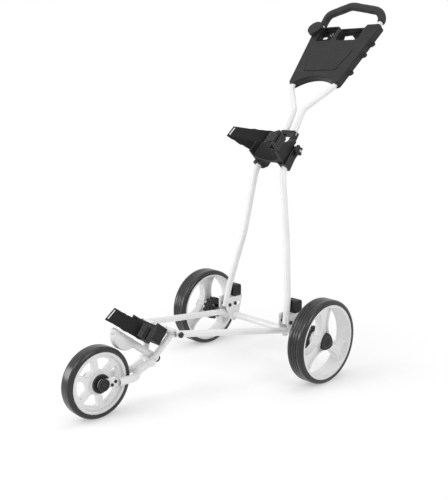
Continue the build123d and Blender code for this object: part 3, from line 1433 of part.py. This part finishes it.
with BuildPart() as front_discs:
    for side in (1, -1):
        with BuildSketch(yz_slab(side, FRONT_HUB_LEN / 2, FRONT_HUB_LEN / 2 + FRONT_DISC_T, -WHEELBASE, FRONT_R)):
            Circle(FRONT_DISC_R)
            Circle(FRONT_AXLE_R + 2, mode=Mode.SUBTRACT)
        extrude(amount=FRONT_DISC_T)
save(front_discs, "front_hub_discs")

with BuildPart() as front_bearings:
    for side in (1, -1):
        x_out = FRONT_HUB_LEN / 2 - SIDE_PLAY
        with BuildSketch(yz_slab(side, x_out - BEARING_W, x_out, -WHEELBASE, FRONT_R)):
            Circle(FRONT_BEARING_R)
            Circle(FRONT_AXLE_R + RUN, mode=Mode.SUBTRACT)
        extrude(amount=BEARING_W)
save(front_bearings, "front_bearings")
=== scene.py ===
from math import cos, pi, radians, sin

import bmesh
import bpy
from mathutils import Matrix, Vector


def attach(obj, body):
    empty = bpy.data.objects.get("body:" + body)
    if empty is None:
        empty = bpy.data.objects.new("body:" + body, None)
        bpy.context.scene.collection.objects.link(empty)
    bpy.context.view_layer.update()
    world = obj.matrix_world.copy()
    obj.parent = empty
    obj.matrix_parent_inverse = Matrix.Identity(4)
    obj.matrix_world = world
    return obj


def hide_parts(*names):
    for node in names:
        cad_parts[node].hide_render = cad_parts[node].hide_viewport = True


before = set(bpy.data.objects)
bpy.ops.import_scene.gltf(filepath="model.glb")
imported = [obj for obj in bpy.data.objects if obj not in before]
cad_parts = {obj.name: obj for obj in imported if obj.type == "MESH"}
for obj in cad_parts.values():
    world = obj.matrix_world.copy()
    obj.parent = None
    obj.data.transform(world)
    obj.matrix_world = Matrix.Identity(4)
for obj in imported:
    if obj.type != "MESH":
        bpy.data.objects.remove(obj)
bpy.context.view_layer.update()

# The view: a camera a little above the mast head on the cart's near front side, and four large
# soft lamps. The two strongest stand on the camera's left, so the shadows fall to the right.
CAMERA_PLACE = Vector((1.8418, -1.9466, 1.0001))
CAMERA_TURN = radians(46.2)
CAMERA_TILT = radians(12.3)
CAMERA_LENS = 54.6
CAMERA_SENSOR = 36.0
STUDIO_AIM = Vector((0.0, -0.2, 0.5))

camera = bpy.data.objects.new("camera", bpy.data.cameras.new("camera"))
bpy.context.collection.objects.link(camera)
camera.data.sensor_width = CAMERA_SENSOR
camera.data.lens = CAMERA_LENS
camera.location = CAMERA_PLACE
camera.rotation_mode = "QUATERNION"
camera.rotation_quaternion = Vector((
    -sin(CAMERA_TURN) * cos(CAMERA_TILT),
    cos(CAMERA_TURN) * cos(CAMERA_TILT),
    -sin(CAMERA_TILT),
)).to_track_quat("-Z", "Y")
bpy.context.scene.camera = camera
bpy.context.scene.view_settings.view_transform = "Standard"


def soft_lamp(name, place, size, power):
    lamp = bpy.data.objects.new(name, bpy.data.lights.new(name, "AREA"))
    bpy.context.collection.objects.link(lamp)
    lamp.data.shape = "DISK"
    lamp.data.size = size
    lamp.data.energy = power
    lamp.location = place
    lamp.rotation_mode = "QUATERNION"
    lamp.rotation_quaternion = (STUDIO_AIM - Vector(place)).to_track_quat("-Z", "Y")


soft_lamp("key_lamp", place=(-0.9, -2.8, 2.8), size=1.6, power=30.0)
soft_lamp("low_lamp", place=(-2.3, -2.7, 0.9), size=1.3, power=26.0)
soft_lamp("side_lamp", place=(3.2, -0.2, 2.0), size=1.4, power=24.0)
soft_lamp("top_lamp", place=(0.2, 0.3, 3.6), size=2.4, power=16.0)


# The studio itself: a pale floor that keeps a faint shadow round the wheels and turns into plain
# white further out, under an even white sky.
FLOOR_HALF = 9.0
FLOOR_DROP = 0.0004
FLOOR_MIDDLE = (0.0, -0.3, 0.0)
FLOOR_NEAR = 0.50
FLOOR_FAR = 1.10
FLOOR_LIFT = 0.28
FLOOR_GLOW = 0.15
FLOOR_PALE = 0.92
SKY_STRENGTH = 0.60


class Wire:
    # One socket of a shader. Sums on wires add their own nodes.
    def __init__(self, tree, socket=None):
        self.tree = tree
        self.socket = socket

    def node(self, kind, settings=(), sockets=(), out=0):
        made = self.tree.nodes.new(kind)
        for name, value in dict(settings).items():
            if name == "stops":
                for place, colour in value[2:]:
                    made.color_ramp.elements.new(place)
                for element, (place, colour) in zip(made.color_ramp.elements, value):
                    element.position = place
                    element.color = (*colour, 1.0)
            else:
                setattr(made, name, value)
        for name, value in dict(sockets).items():
            if isinstance(value, Wire):
                self.tree.links.new(value.socket, made.inputs[name])
            else:
                made.inputs[name].default_value = value
        return Wire(self.tree, made.outputs[out] if made.outputs else None)

    def maths(self, operation, first, second=0.0):
        return self.node("ShaderNodeMath", {"operation": operation}, {0: first, 1: second})

    def blend(self, factor, first, second):
        return self.node(
            "ShaderNodeMix", {"data_type": "RGBA"}, {0: factor, 6: first, 7: second}, out=2
        )

    def ramp(self, low, high):
        return self.node(
            "ShaderNodeMapRange", {"interpolation_type": "SMOOTHSTEP"},
            {"Value": self, "From Min": low, "From Max": high},
        )

    def __add__(self, other):
        return self.maths("ADD", self, other)

    def __radd__(self, other):
        return self.maths("ADD", other, self)

    def __sub__(self, other):
        return self.maths("SUBTRACT", self, other)

    def __rsub__(self, other):
        return self.maths("SUBTRACT", other, self)

    def __mul__(self, other):
        return self.maths("MULTIPLY", self, other)

    def __rmul__(self, other):
        return self.maths("MULTIPLY", other, self)


def start_material(name):
    material = bpy.data.materials.new(name)
    material.use_nodes = True
    material.node_tree.nodes.clear()
    return material, Wire(material.node_tree)


def grey(level, warm=0.0):
    return (level + warm, level, level - warm, 1.0)


def background_rays(wire):
    # One where the background is looked at, straight on or in a shiny or clear piece.
    path = wire.tree.nodes.new("ShaderNodeLightPath")
    seen = Wire(wire.tree, path.outputs["Is Camera Ray"])
    for name in ("Is Glossy Ray", "Is Transmission Ray"):
        seen = wire.maths("MAXIMUM", seen, Wire(wire.tree, path.outputs[name]))
    return seen


floor_paint, wire = start_material("studio_floor")
spot = wire.node("ShaderNodeTexCoord", out=3)
away = wire.node(
    "ShaderNodeVectorMath", {"operation": "DISTANCE"}, {0: spot, 1: FLOOR_MIDDLE}, out=1
)
seen = background_rays(wire)
white = seen * (FLOOR_LIFT + (1 - FLOOR_LIFT) * away.ramp(FLOOR_NEAR, FLOOR_FAR))
lit = wire.node("ShaderNodeBsdfDiffuse", (), {"Color": grey(FLOOR_PALE)})
shine = wire.blend(seen, grey(0.0), grey(FLOOR_GLOW))
glow = wire.node("ShaderNodeEmission", (), {"Color": shine, "Strength": 1.0})
pale = wire.node("ShaderNodeAddShader", (), {0: lit, 1: glow})
bare = wire.node("ShaderNodeEmission", (), {"Color": grey(1.0), "Strength": 1.0})
mixed = wire.node("ShaderNodeMixShader", (), {0: white, 1: pale, 2: bare})
wire.node("ShaderNodeOutputMaterial", (), {"Surface": mixed})

bm = bmesh.new()
bmesh.ops.create_grid(bm, x_segments=1, y_segments=1, size=FLOOR_HALF)
bmesh.ops.translate(bm, verts=bm.verts, vec=(0, 0, -FLOOR_DROP))
floor_mesh = bpy.data.meshes.new("studio_floor")
bm.to_mesh(floor_mesh)
bm.free()
floor_mesh.materials.append(floor_paint)
studio_floor = bpy.data.objects.new("studio_floor", floor_mesh)
bpy.context.collection.objects.link(studio_floor)

sky = bpy.data.worlds.new("studio_sky")
sky.use_nodes = True
sky.node_tree.nodes.clear()
wire = Wire(sky.node_tree)
strength = SKY_STRENGTH + (1 - SKY_STRENGTH) * background_rays(wire)
shining = wire.node("ShaderNodeBackground", (), {"Color": grey(1.0), "Strength": strength})
wire.node("ShaderNodeOutputWorld", (), {"Surface": shining})
bpy.context.scene.world = sky


# The frame tubes: drawn tubes with bent sheet brackets, all white powder coat. The coat has a
# soft gloss, the faint orange peel of a baked coat, and a little dust low down near the wheels.
PAINT = grey(0.86)
PAINT_SHADE = grey(0.81)
PAINT_DUST = grey(0.62, 0.012)
PAINT_PEEL = 420.0
PAINT_CLOUD = 11.0
PAINT_EDGE = 0.0008
DUST_TOP = 0.16
DUST_GRAIN = 60.0
DUST_SHARE = 0.35
# How far an edge must turn before it gets the painted edge line of the black mouldings.
PAINTED_EDGE_FROM = 0.004
PAINTED_EDGE_TO = 0.09
EDGE_SAMPLES = 6


def dress(material, *names):
    for name in names:
        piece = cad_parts[name]
        for slot in piece.material_slots:
            slot.material = material


def speckle(wire, place, scale, detail=2.0, rough=0.5):
    return wire.node(
        "ShaderNodeTexNoise", (),
        {"Vector": place, "Scale": scale, "Detail": detail, "Roughness": rough},
    )


def soft_edge(wire, radius):
    # The rounded edge of a pressed or moulded piece, as a normal.
    return wire.node("ShaderNodeBevel", {"samples": EDGE_SAMPLES}, {"Radius": radius})


def painted_edge_mask(wire, rounded):
    # One along the rounded edges, where the painted edge highlight and painted edge shade go,
    # nought on the flats.
    facing = wire.node("ShaderNodeNewGeometry", out=1)
    level = wire.node(
        "ShaderNodeVectorMath", {"operation": "DOT_PRODUCT"}, {0: rounded, 1: facing}, out=1
    )
    return (1 - level).ramp(PAINTED_EDGE_FROM, PAINTED_EDGE_TO)


powder_coat, wire = start_material("white_powder_coat")
place = wire.node("ShaderNodeTexCoord", out=3)
height = wire.node("ShaderNodeSeparateXYZ", (), {0: place}, out=2)
cloud = speckle(wire, place, PAINT_CLOUD, 4.0)
peel = speckle(wire, place, PAINT_PEEL)
low_down = 1 - height.ramp(0.0, DUST_TOP)
dust = low_down * speckle(wire, place, DUST_GRAIN, 5.0, 0.7).ramp(0.42, 0.72) * DUST_SHARE
colour = wire.blend(cloud.ramp(0.35, 0.7), PAINT, PAINT_SHADE)
colour = wire.blend(dust, colour, PAINT_DUST)
bump = wire.node("ShaderNodeBump", (), {
    "Height": peel, "Strength": 0.12, "Distance": 0.0004, "Normal": soft_edge(wire, PAINT_EDGE),
})
coat = wire.node("ShaderNodeBsdfPrincipled", (), {
    "Base Color": colour,
    "Roughness": 0.26 + 0.12 * cloud + 0.3 * dust,
    "Coat Weight": 0.35,
    "Coat Roughness": 0.12,
    "Normal": bump,
})
wire.node("ShaderNodeOutputMaterial", (), {"Surface": coat})
dress(
    powder_coat, "axle_tube", "side_tube_left", "side_tube_right", "bracket_left", "bracket_right",
    "upright_left", "upright_right", "handle_tube", "hinge_sleeve", "rest_tube", "crown",
    "yoke_legs", "fork_left", "fork_right", "cradle_webs",
)


# The bright fasteners: zinc plated bolts, axles, nuts and bearing rings, turned or cold headed,
# with fine turning marks round the shaft and a faint blue tint in the plating.
ZINC = (0.56, 0.57, 0.60, 1.0)
ZINC_DULL = (0.43, 0.43, 0.44, 1.0)
TURNING = (900.0, 60.0, 60.0)
ZINC_PATCH = 90.0

zinc, wire = start_material("zinc_plated_steel")
place = wire.node("ShaderNodeTexCoord", out=3)
drawn = wire.node("ShaderNodeMapping", (), {"Vector": place, "Scale": TURNING})
marks = speckle(wire, drawn, 1.0, 3.0)
patch = speckle(wire, place, ZINC_PATCH, 4.0)
bump = wire.node("ShaderNodeBump", (), {"Height": marks, "Strength": 0.1, "Distance": 0.0002})
metal = wire.node("ShaderNodeBsdfPrincipled", (), {
    "Base Color": wire.blend(patch.ramp(0.35, 0.7), ZINC, ZINC_DULL),
    "Metallic": 1.0,
    "Roughness": 0.28 + 0.2 * patch,
    "Normal": bump,
})
wire.node("ShaderNodeOutputMaterial", (), {"Surface": metal})
dress(
    zinc, "rear_axle", "axle_nuts", "clamp_bolt", "console_screws", "front_axle",
    "rear_bearings_left", "rear_bearings_right", "front_bearings",
)


# The dark fasteners: the bracket bolts and the fork screws, steel with a black oxide finish that
# is a little worn to grey.
OXIDE = grey(0.018)
OXIDE_WORN = grey(0.055)
OXIDE_SPOTS = 220.0

oxide, wire = start_material("black_oxide_steel")
place = wire.node("ShaderNodeTexCoord", out=3)
wear_and_painted_edge = speckle(wire, place, OXIDE_SPOTS, 5.0, 0.65)
bump = wire.node("ShaderNodeBump", (), {"Height": wear_and_painted_edge, "Strength": 0.15, "Distance": 0.0002})
metal = wire.node("ShaderNodeBsdfPrincipled", (), {
    "Base Color": wire.blend(wear_and_painted_edge.ramp(0.5, 0.75), OXIDE, OXIDE_WORN),
    "Metallic": 0.4,
    "Roughness": 0.34 + 0.2 * wear_and_painted_edge,
    "Normal": bump,
})
wire.node("ShaderNodeOutputMaterial", (), {"Surface": metal})
dress(oxide, "bracket_bolts", "fork_screws")


# The front hinge pin: a bright plated steel rod through the hinge sleeve, with a black moulded cap
# pressed over each end outside the side tubes.
CAP_FROM = 0.090
CAP_BLACK = grey(0.014)
CAP_GRAIN = 700.0

capped_pin, wire = start_material("capped_hinge_pin")
place = wire.node("ShaderNodeTexCoord", out=3)
sideways = wire.node("ShaderNodeSeparateXYZ", (), {0: place}, out=0)
cap = wire.maths("GREATER_THAN", wire.maths("ABSOLUTE", sideways), CAP_FROM)
grain = speckle(wire, place, CAP_GRAIN, 3.0)
bump = wire.node("ShaderNodeBump", (), {"Height": grain, "Strength": 0.12, "Distance": 0.0002})
pin_shader = wire.node("ShaderNodeBsdfPrincipled", (), {
    "Base Color": wire.blend(cap, ZINC, CAP_BLACK),
    "Metallic": 1 - cap,
    "Roughness": 0.34 + 0.14 * grain,
    "Normal": bump,
})
wire.node("ShaderNodeOutputMaterial", (), {"Surface": pin_shader})
dress(capped_pin, "hinge_pin")


# The black mouldings: saddles, mast head, cradles, buckles, knob, knuckle and console, all glass
# filled nylon with a fine spark eroded grain, a satin sheen and faint flow clouds. Their edges
# carry a painted highlight, a pale line for the light caught on the rounded edges, weaker on the
# console; on the lid, which lies sunk in a pocket, the edges are painted darker instead, a painted
# shade in its groove.
NYLON = grey(0.017)
NYLON_PALE = grey(0.026)
# Painted edge colours: a pale painted highlight for most mouldings, a weaker painted highlight for
# the console, and a darker painted shade for the lid's edges.
NYLON_PAINTED_HIGHLIGHT = grey(0.18)
NYLON_CONSOLE_PAINTED_HIGHLIGHT = grey(0.075)
NYLON_SHADE = grey(0.012)
NYLON_EDGE = 0.0034
NYLON_GRAIN = 1900.0
NYLON_CLOUD = 14.0
NYLON_SCUFF_AND_HIGHLIGHT = 160.0


# The second argument is the painted edge colour: pale for a painted highlight, dark for a painted
# shade.
def moulded_nylon(name, wear_and_painted_edge):
    material, wire = start_material(name)
    place = wire.node("ShaderNodeTexCoord", out=3)
    cloud = speckle(wire, place, NYLON_CLOUD, 4.0)
    grain = wire.node("ShaderNodeTexVoronoi", (), {"Vector": place, "Scale": NYLON_GRAIN})
    scuff_and_highlight_patches = speckle(wire, place, NYLON_SCUFF_AND_HIGHLIGHT, 6.0, 0.7)
    rounded = soft_edge(wire, NYLON_EDGE)
    # The edge mask places the painted highlight, on the lid the painted shade; the patch noise
    # breaks it up along the edge and also varies the roughness.
    painted_edge = painted_edge_mask(wire, rounded) * (0.45 + 0.55 * scuff_and_highlight_patches)
    colour = wire.blend(cloud.ramp(0.3, 0.75), NYLON, NYLON_PALE)
    bump = wire.node("ShaderNodeBump", (), {
        "Height": grain, "Strength": 0.22, "Distance": 0.0003, "Normal": rounded,
    })
    moulded = wire.node("ShaderNodeBsdfPrincipled", (), {
        "Base Color": wire.blend(painted_edge, colour, wear_and_painted_edge),
        "Roughness": 0.38 + 0.14 * cloud + 0.08 * scuff_and_highlight_patches,
        "Specular IOR Level": 0.2,
        "Normal": bump,
    })
    wire.node("ShaderNodeOutputMaterial", (), {"Surface": moulded})
    return material


dress(
    # These mouldings get the pale painted highlight on their edges.
    moulded_nylon("black_moulded_nylon", NYLON_PAINTED_HIGHLIGHT),
    "saddle_left", "saddle_right", "mast_head", "upper_cradle", "upper_buckle", "upper_lever",
    "lower_cradle", "lower_buckle", "lower_lever", "clamp_knob", "handle_knuckle",
    "accessory_socket", "rest_plug", "front_axle_nuts",
    "hub_ring_left", "hub_ring_right", "hub_cap_left", "hub_cap_right", "front_hub_discs",
)
# The console gets a weaker painted highlight on its edges.
dress(moulded_nylon("black_console_nylon", NYLON_CONSOLE_PAINTED_HIGHLIGHT), "console_back", "console_front")
# The lid's edges are painted darker than its body, a painted shade for the groove round it.
dress(moulded_nylon("black_lid_nylon", NYLON_SHADE), "console_lid")


# The wheel rims and the rest foot: white moulded nylon, smoother and a little duller than the
# painted tubes, with a fine moulded grain.
RIM_WHITE = grey(0.86)
RIM_SHADE = grey(0.81)
RIM_CLOUD = 16.0
RIM_GRAIN = 1500.0
RIM_EDGE = 0.0012

rim_nylon, wire = start_material("white_moulded_nylon")
place = wire.node("ShaderNodeTexCoord", out=3)
cloud = speckle(wire, place, RIM_CLOUD, 4.0)
grain = speckle(wire, place, RIM_GRAIN)
bump = wire.node("ShaderNodeBump", (), {
    "Height": grain, "Strength": 0.1, "Distance": 0.0003, "Normal": soft_edge(wire, RIM_EDGE),
})
moulded = wire.node("ShaderNodeBsdfPrincipled", (), {
    "Base Color": wire.blend(cloud.ramp(0.3, 0.75), RIM_WHITE, RIM_SHADE),
    "Roughness": 0.38 + 0.14 * cloud,
    "Normal": bump,
})
wire.node("ShaderNodeOutputMaterial", (), {"Surface": moulded})
dress(rim_nylon, "rear_rim_left", "rear_rim_right", "front_rim", "rest_foot")


# The tyres: solid foam rubber pressed over the rims, dark grey, with round shoulders. The rear ones
# have three fine grooves round the tread, the front one is plain. The skin has a soft sheen.
REAR_RADIUS = 0.146
REAR_MIDDLE = 0.2925
FRONT_RADIUS = 0.114
FRONT_PLACE = (0.0, -0.721, 0.114)
TYRE_THICK = 0.016
REAR_WIDE = 0.064
FRONT_WIDE = 0.048
REAR_SHOULDER = 0.012
FRONT_SHOULDER = 0.011
GROOVE_PITCH = 0.010
GROOVE_WIDE = 0.0019
GROOVE_DEEP = 0.0013
LIP_ROUND = 0.0005
SHOULDER_STEPS = 9
TYRE_STEPS = 144
TINY = 1e-6
RUBBER = grey(0.011)
RUBBER_PALE = grey(0.020)
RUBBER_DUST = grey(0.085, 0.003)
RUBBER_CLOUD = 18.0
RUBBER_SKIN = 1100.0
RUBBER_SPOTS = 75.0


def new_piece(name, bm, material, body, sharp=40.0):
    mesh = bpy.data.meshes.new(name)
    bm.to_mesh(mesh)
    bm.free()
    mesh.shade_smooth()
    mesh.set_sharp_from_angle(angle=radians(sharp))
    mesh.materials.append(material)
    piece = bpy.data.objects.new(name, mesh)
    bpy.context.collection.objects.link(piece)
    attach(piece, body)
    return piece


rubber, wire = start_material("dark_foam_rubber")
place = wire.node("ShaderNodeTexCoord", out=3)
cloud = speckle(wire, place, RUBBER_CLOUD, 4.0)
skin = speckle(wire, place, RUBBER_SKIN, 3.0)
floor_dust = speckle(wire, place, RUBBER_SPOTS, 6.0, 0.7).ramp(0.5, 0.8) * 0.4
colour = wire.blend(cloud.ramp(0.3, 0.75), RUBBER, RUBBER_PALE)
bump = wire.node("ShaderNodeBump", (), {"Height": skin, "Strength": 0.15, "Distance": 0.0003})
skin_shader = wire.node("ShaderNodeBsdfPrincipled", (), {
    "Base Color": wire.blend(floor_dust, colour, RUBBER_DUST),
    "Roughness": 0.20 + 0.08 * cloud + 0.2 * floor_dust,
    "Specular IOR Level": 0.5,
    "Normal": bump,
})
wire.node("ShaderNodeOutputMaterial", (), {"Surface": skin_shader})


def tyre(name, node, body, middle, radius, wide, shoulder, grooves):
    bm = bmesh.new()
    half = wide / 2
    outer = [(half, radius)]
    for groove in grooves:
        outer += [
            (groove + GROOVE_WIDE / 2, radius),
            (groove + GROOVE_WIDE / 2, radius - GROOVE_DEEP),
            (groove - GROOVE_WIDE / 2, radius - GROOVE_DEEP),
            (groove - GROOVE_WIDE / 2, radius),
        ]
    outer.append((-half, radius))
    inner = [(-half, radius - TYRE_THICK), (half, radius - TYRE_THICK)]
    section = bm.faces.new([bm.verts.new((x, 0, z)) for x, z in outer + inner])
    corners = list(section.verts)
    bmesh.ops.bevel(
        bm, geom=[corners[0], corners[len(outer) - 1]], offset=shoulder,
        segments=SHOULDER_STEPS, profile=0.5, affect="VERTICES", material=-1,
    )
    if grooves:
        tread = half - shoulder * 1.2
        lips = [v for v in bm.verts if abs(v.co.z - radius) < TINY and abs(v.co.x) < tread]
        bmesh.ops.bevel(
            bm, geom=lips, offset=LIP_ROUND, segments=2, profile=0.5, affect="VERTICES",
            material=-1,
        )
    bmesh.ops.delete(bm, geom=bm.faces[:], context="FACES_ONLY")
    bmesh.ops.spin(
        bm, geom=bm.verts[:] + bm.edges[:], cent=(0, 0, 0), axis=(1, 0, 0), angle=2 * pi,
        steps=TYRE_STEPS, use_merge=True,
    )
    bmesh.ops.remove_doubles(bm, verts=bm.verts, dist=TINY)
    bmesh.ops.recalc_face_normals(bm, faces=bm.faces)
    bmesh.ops.translate(bm, verts=bm.verts, vec=middle)
    piece = new_piece(name, bm, rubber, body)
    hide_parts(node)


for side, word in ((1, "left"), (-1, "right")):
    tyre(
        "grooved_tyre_" + word, "rear_tyre_" + word, "rear_wheel_" + word,
        (side * REAR_MIDDLE, 0.0, REAR_RADIUS), REAR_RADIUS, REAR_WIDE, REAR_SHOULDER,
        (GROOVE_PITCH, 0.0, -GROOVE_PITCH),
    )
tyre(
    "plain_tyre_front", "front_tyre", "front_wheel", FRONT_PLACE, FRONT_RADIUS, FRONT_WIDE,
    FRONT_SHOULDER, (),
)


# The two bag straps: flat black polyester webbing, woven with ribs along its length, riveted to
# the cradle wings and folded sharply in front of the bag space, with a pale band across the webbing
# at the fold.
STRAP_THICK = 0.0018
STRAP_STEPS = 72
STRAP_ROWS = 10
FOLD_SHARE = 0.05
FOLD_RADIUS = 0.0022
FOLD_BAND_FROM = 0.460
FOLD_BAND_TO = 0.473
FOLD_BAND_EDGE = 0.12
WEB_PICKS = 300.0
WEB_RIBS = 22.0
WEB_FUZZ = 90.0
RIPPLE = 0.25
RIPPLE_WAVES = 3.1
RIPPLE_LEAN = 1.3
SLACK = 0.35
LONG_SLACK = (0.8, 5.3)
SHORT_SLACK = (0.5, 11.0)
SAG_BEND = 1.6
WEB_BLACK = grey(0.010)
WEB_PALE = grey(0.028)
FOLD_BAND_WHITE = grey(0.78)

webbing, wire = start_material("black_webbing")
cut = wire.node("ShaderNodeTexCoord", out=2)
along = wire.node("ShaderNodeSeparateXYZ", (), {0: cut}, out=0)
across = wire.node("ShaderNodeSeparateXYZ", (), {0: cut}, out=1)
pick = wire.maths("SINE", along * (2 * pi * WEB_PICKS))
rib = wire.maths("SINE", across * (2 * pi * WEB_RIBS))
weave = 0.5 + 0.5 * (pick * rib)
fuzz = speckle(wire, cut, WEB_FUZZ, 5.0)
# A pale band across the webbing just at the fold.
fold_band = (
    wire.maths("GREATER_THAN", along, FOLD_BAND_FROM) * wire.maths("LESS_THAN", along, FOLD_BAND_TO)
    * wire.maths("GREATER_THAN", across, FOLD_BAND_EDGE) * wire.maths("LESS_THAN", across, 1 - FOLD_BAND_EDGE)
)
colour = wire.blend(0.55 * weave + 0.45 * fuzz, WEB_BLACK, WEB_PALE)
bump = wire.node("ShaderNodeBump", (), {"Height": weave, "Strength": 0.5, "Distance": 0.0005})
cloth = wire.node("ShaderNodeBsdfPrincipled", (), {
    "Base Color": wire.blend(fold_band, colour, FOLD_BAND_WHITE),
    "Roughness": 0.62 + 0.2 * fuzz,
    "Sheen Weight": 0.06,
    "Sheen Roughness": 0.4,
    "Specular IOR Level": 0.18,
    "Normal": bump,
})
wire.node("ShaderNodeOutputMaterial", (), {"Surface": cloth})


def strap(name, node, body, root_x, near, far, fold, wide, lean, tilt, bulge, sag):
    rise = Vector((0, sin(radians(lean)), cos(radians(lean))))
    fold_line = Vector((0, cos(radians(tilt)), sin(radians(tilt))))
    nose = Vector((0, -fold_line.z, fold_line.y))
    fold_at = Vector((0, *fold))
    bm = bmesh.new()
    bm.loops.layers.uv.new("weave")
    bmesh.ops.create_grid(
        bm, x_segments=STRAP_STEPS, y_segments=STRAP_ROWS, size=1.0, calc_uvs=True
    )
    for vert in bm.verts:
        run = vert.co.x
        share = (vert.co.y + 1) / 2
        side = -1 if run > 0 else 1
        low = near if side > 0 else far
        root = Vector((side * root_x, *low)) + rise * (share * wide)
        tip = fold_at + fold_line * (share * wide)
        if abs(run) < FOLD_SHARE:
            turn = run / FOLD_SHARE * pi / 2
            bend = Vector((-sin(turn) * FOLD_RADIUS, 0, 0))
            vert.co = tip + bend + nose * (cos(turn) * FOLD_RADIUS)
        else:
            way = (abs(run) - FOLD_SHARE) / (1 - FOLD_SHARE)
            spot = tip.lerp(root, way)
            spot.x = side * (FOLD_RADIUS + (root_x - FOLD_RADIUS) * way)
            free = sin(pi * way)
            spot.x += side * bulge * free
            ripple = sin(RIPPLE_WAVES * pi * way + share * RIPPLE_LEAN)
            spot += nose * (RIPPLE * bulge * ripple * free)
            slack = LONG_SLACK[0] * sin(LONG_SLACK[1] * pi * way + side)
            slack += SHORT_SLACK[0] * sin(SHORT_SLACK[1] * pi * way)
            spot += rise * (SLACK * bulge * free * slack * (2 * share - 1))
            if side > 0:
                spot -= rise * (sag * (1 - share) * sin(pi * way ** SAG_BEND))
            vert.co = spot
    bmesh.ops.solidify(bm, geom=bm.faces[:], thickness=STRAP_THICK)
    bmesh.ops.recalc_face_normals(bm, faces=bm.faces)
    piece = new_piece(name, bm, webbing, body, sharp=60.0)
    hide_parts(node)


strap(
    "upper_webbing", "upper_strap", "mast", root_x=0.0588, near=(0.004, 0.8085),
    far=(0.006, 0.775), fold=(-0.1646, 0.8335), wide=0.043, lean=45.0, tilt=42.0, bulge=0.004,
    sag=0.007,
)
strap(
    "lower_webbing", "lower_strap", "front_frame", root_x=0.0568, near=(-0.5686, 0.2155),
    far=(-0.560, 0.2265), fold=(-0.679, 0.303), wide=0.046, lean=38.0, tilt=38.0, bulge=0.003,
    sag=0.001,
)


# The hand grip: a sleeve of closed cell foam pushed over the handle loop, matt charcoal, with
# rounded ends and soft dents where hands have pressed it.
GRIP_POINTS = (
    (0.1361, 0.4910, 1.2225), (0.138, 0.502, 1.234), (0.120, 0.508, 1.266), (0.085, 0.505, 1.274),
    (0.032, 0.501, 1.285), (0.0, 0.499, 1.292), (-0.032, 0.501, 1.285), (-0.085, 0.505, 1.274),
    (-0.120, 0.508, 1.266), (-0.138, 0.502, 1.234), (-0.1361, 0.4910, 1.2225),
)
GRIP_RADIUS = 0.0153
GRIP_SIDES = 40
GRIP_END = 0.010
GRIP_MOUTH = 0.72
GRIP_DENTS = ((0.010, 92.0, 0.0), (0.008, 171.0, 1.0))
FOAM = grey(0.016)
FOAM_PALE = grey(0.030)
FOAM_CELLS = 900.0
FOAM_CLOUD = 35.0

foam, wire = start_material("charcoal_foam")
place = wire.node("ShaderNodeTexCoord", out=3)
cells = wire.node("ShaderNodeTexVoronoi", (), {"Vector": place, "Scale": FOAM_CELLS})
cloud = speckle(wire, place, FOAM_CLOUD, 5.0, 0.6)
bump = wire.node("ShaderNodeBump", (), {"Height": cells, "Strength": 0.45, "Distance": 0.0006})
spongy = wire.node("ShaderNodeBsdfPrincipled", (), {
    "Base Color": wire.blend(cloud.ramp(0.3, 0.7), FOAM, FOAM_PALE),
    "Roughness": 0.50 + 0.2 * cloud,
    "Specular IOR Level": 0.35,
    "Normal": bump,
})
wire.node("ShaderNodeOutputMaterial", (), {"Surface": spongy})

route = bpy.data.curves.new("grip_route", "CURVE")
route.dimensions = "3D"
spline = route.splines.new("NURBS")
spline.points.add(len(GRIP_POINTS) - 1)
for point, spot in zip(spline.points, GRIP_POINTS):
    point.co = (*spot, 1.0)
spline.order_u = 3
spline.use_endpoint_u = True
spline.resolution_u = 16
route_piece = bpy.data.objects.new("grip_route", route)
route_mesh = bpy.data.meshes.new_from_object(route_piece)
line = [v.co.copy() for v in route_mesh.vertices]
bpy.data.objects.remove(route_piece)
bpy.data.curves.remove(route)
bpy.data.meshes.remove(route_mesh)
lengths = [0.0]
for first, second in zip(line, line[1:]):
    lengths.append(lengths[-1] + (second - first).length)

bm = bmesh.new()
rings = []
for index, spot in enumerate(line):
    ahead = (line[min(index + 1, len(line) - 1)] - line[max(index - 1, 0)]).normalized()
    turn = ahead.to_track_quat("Z", "Y").to_matrix().to_4x4()
    near_end = min(lengths[index], lengths[-1] - lengths[index])
    round_end = min(near_end / GRIP_END, 1.0)
    swell = GRIP_MOUTH + (1 - GRIP_MOUTH) * (1 - (1 - round_end) ** 2) ** 0.5
    dent = 1 + sum(deep * sin(lengths[index] * often + start) for deep, often, start in GRIP_DENTS)
    made = bmesh.ops.create_circle(
        bm, segments=GRIP_SIDES, radius=GRIP_RADIUS * swell * dent,
        matrix=Matrix.Translation(spot) @ turn,
    )
    rings.append(made["verts"])
for first, second in zip(rings, rings[1:]):
    both = {*first, *second}
    rims = [e for e in bm.edges if len(e.link_faces) < 2 and both.issuperset(e.verts)]
    bmesh.ops.bridge_loops(bm, edges=rims)
bmesh.ops.holes_fill(bm, edges=[e for e in bm.edges if len(e.link_faces) == 1], sides=0)
bmesh.ops.recalc_face_normals(bm, faces=bm.faces)
foam_grip = new_piece("foam_grip", bm, foam, "handle", sharp=60.0)
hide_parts("grip")
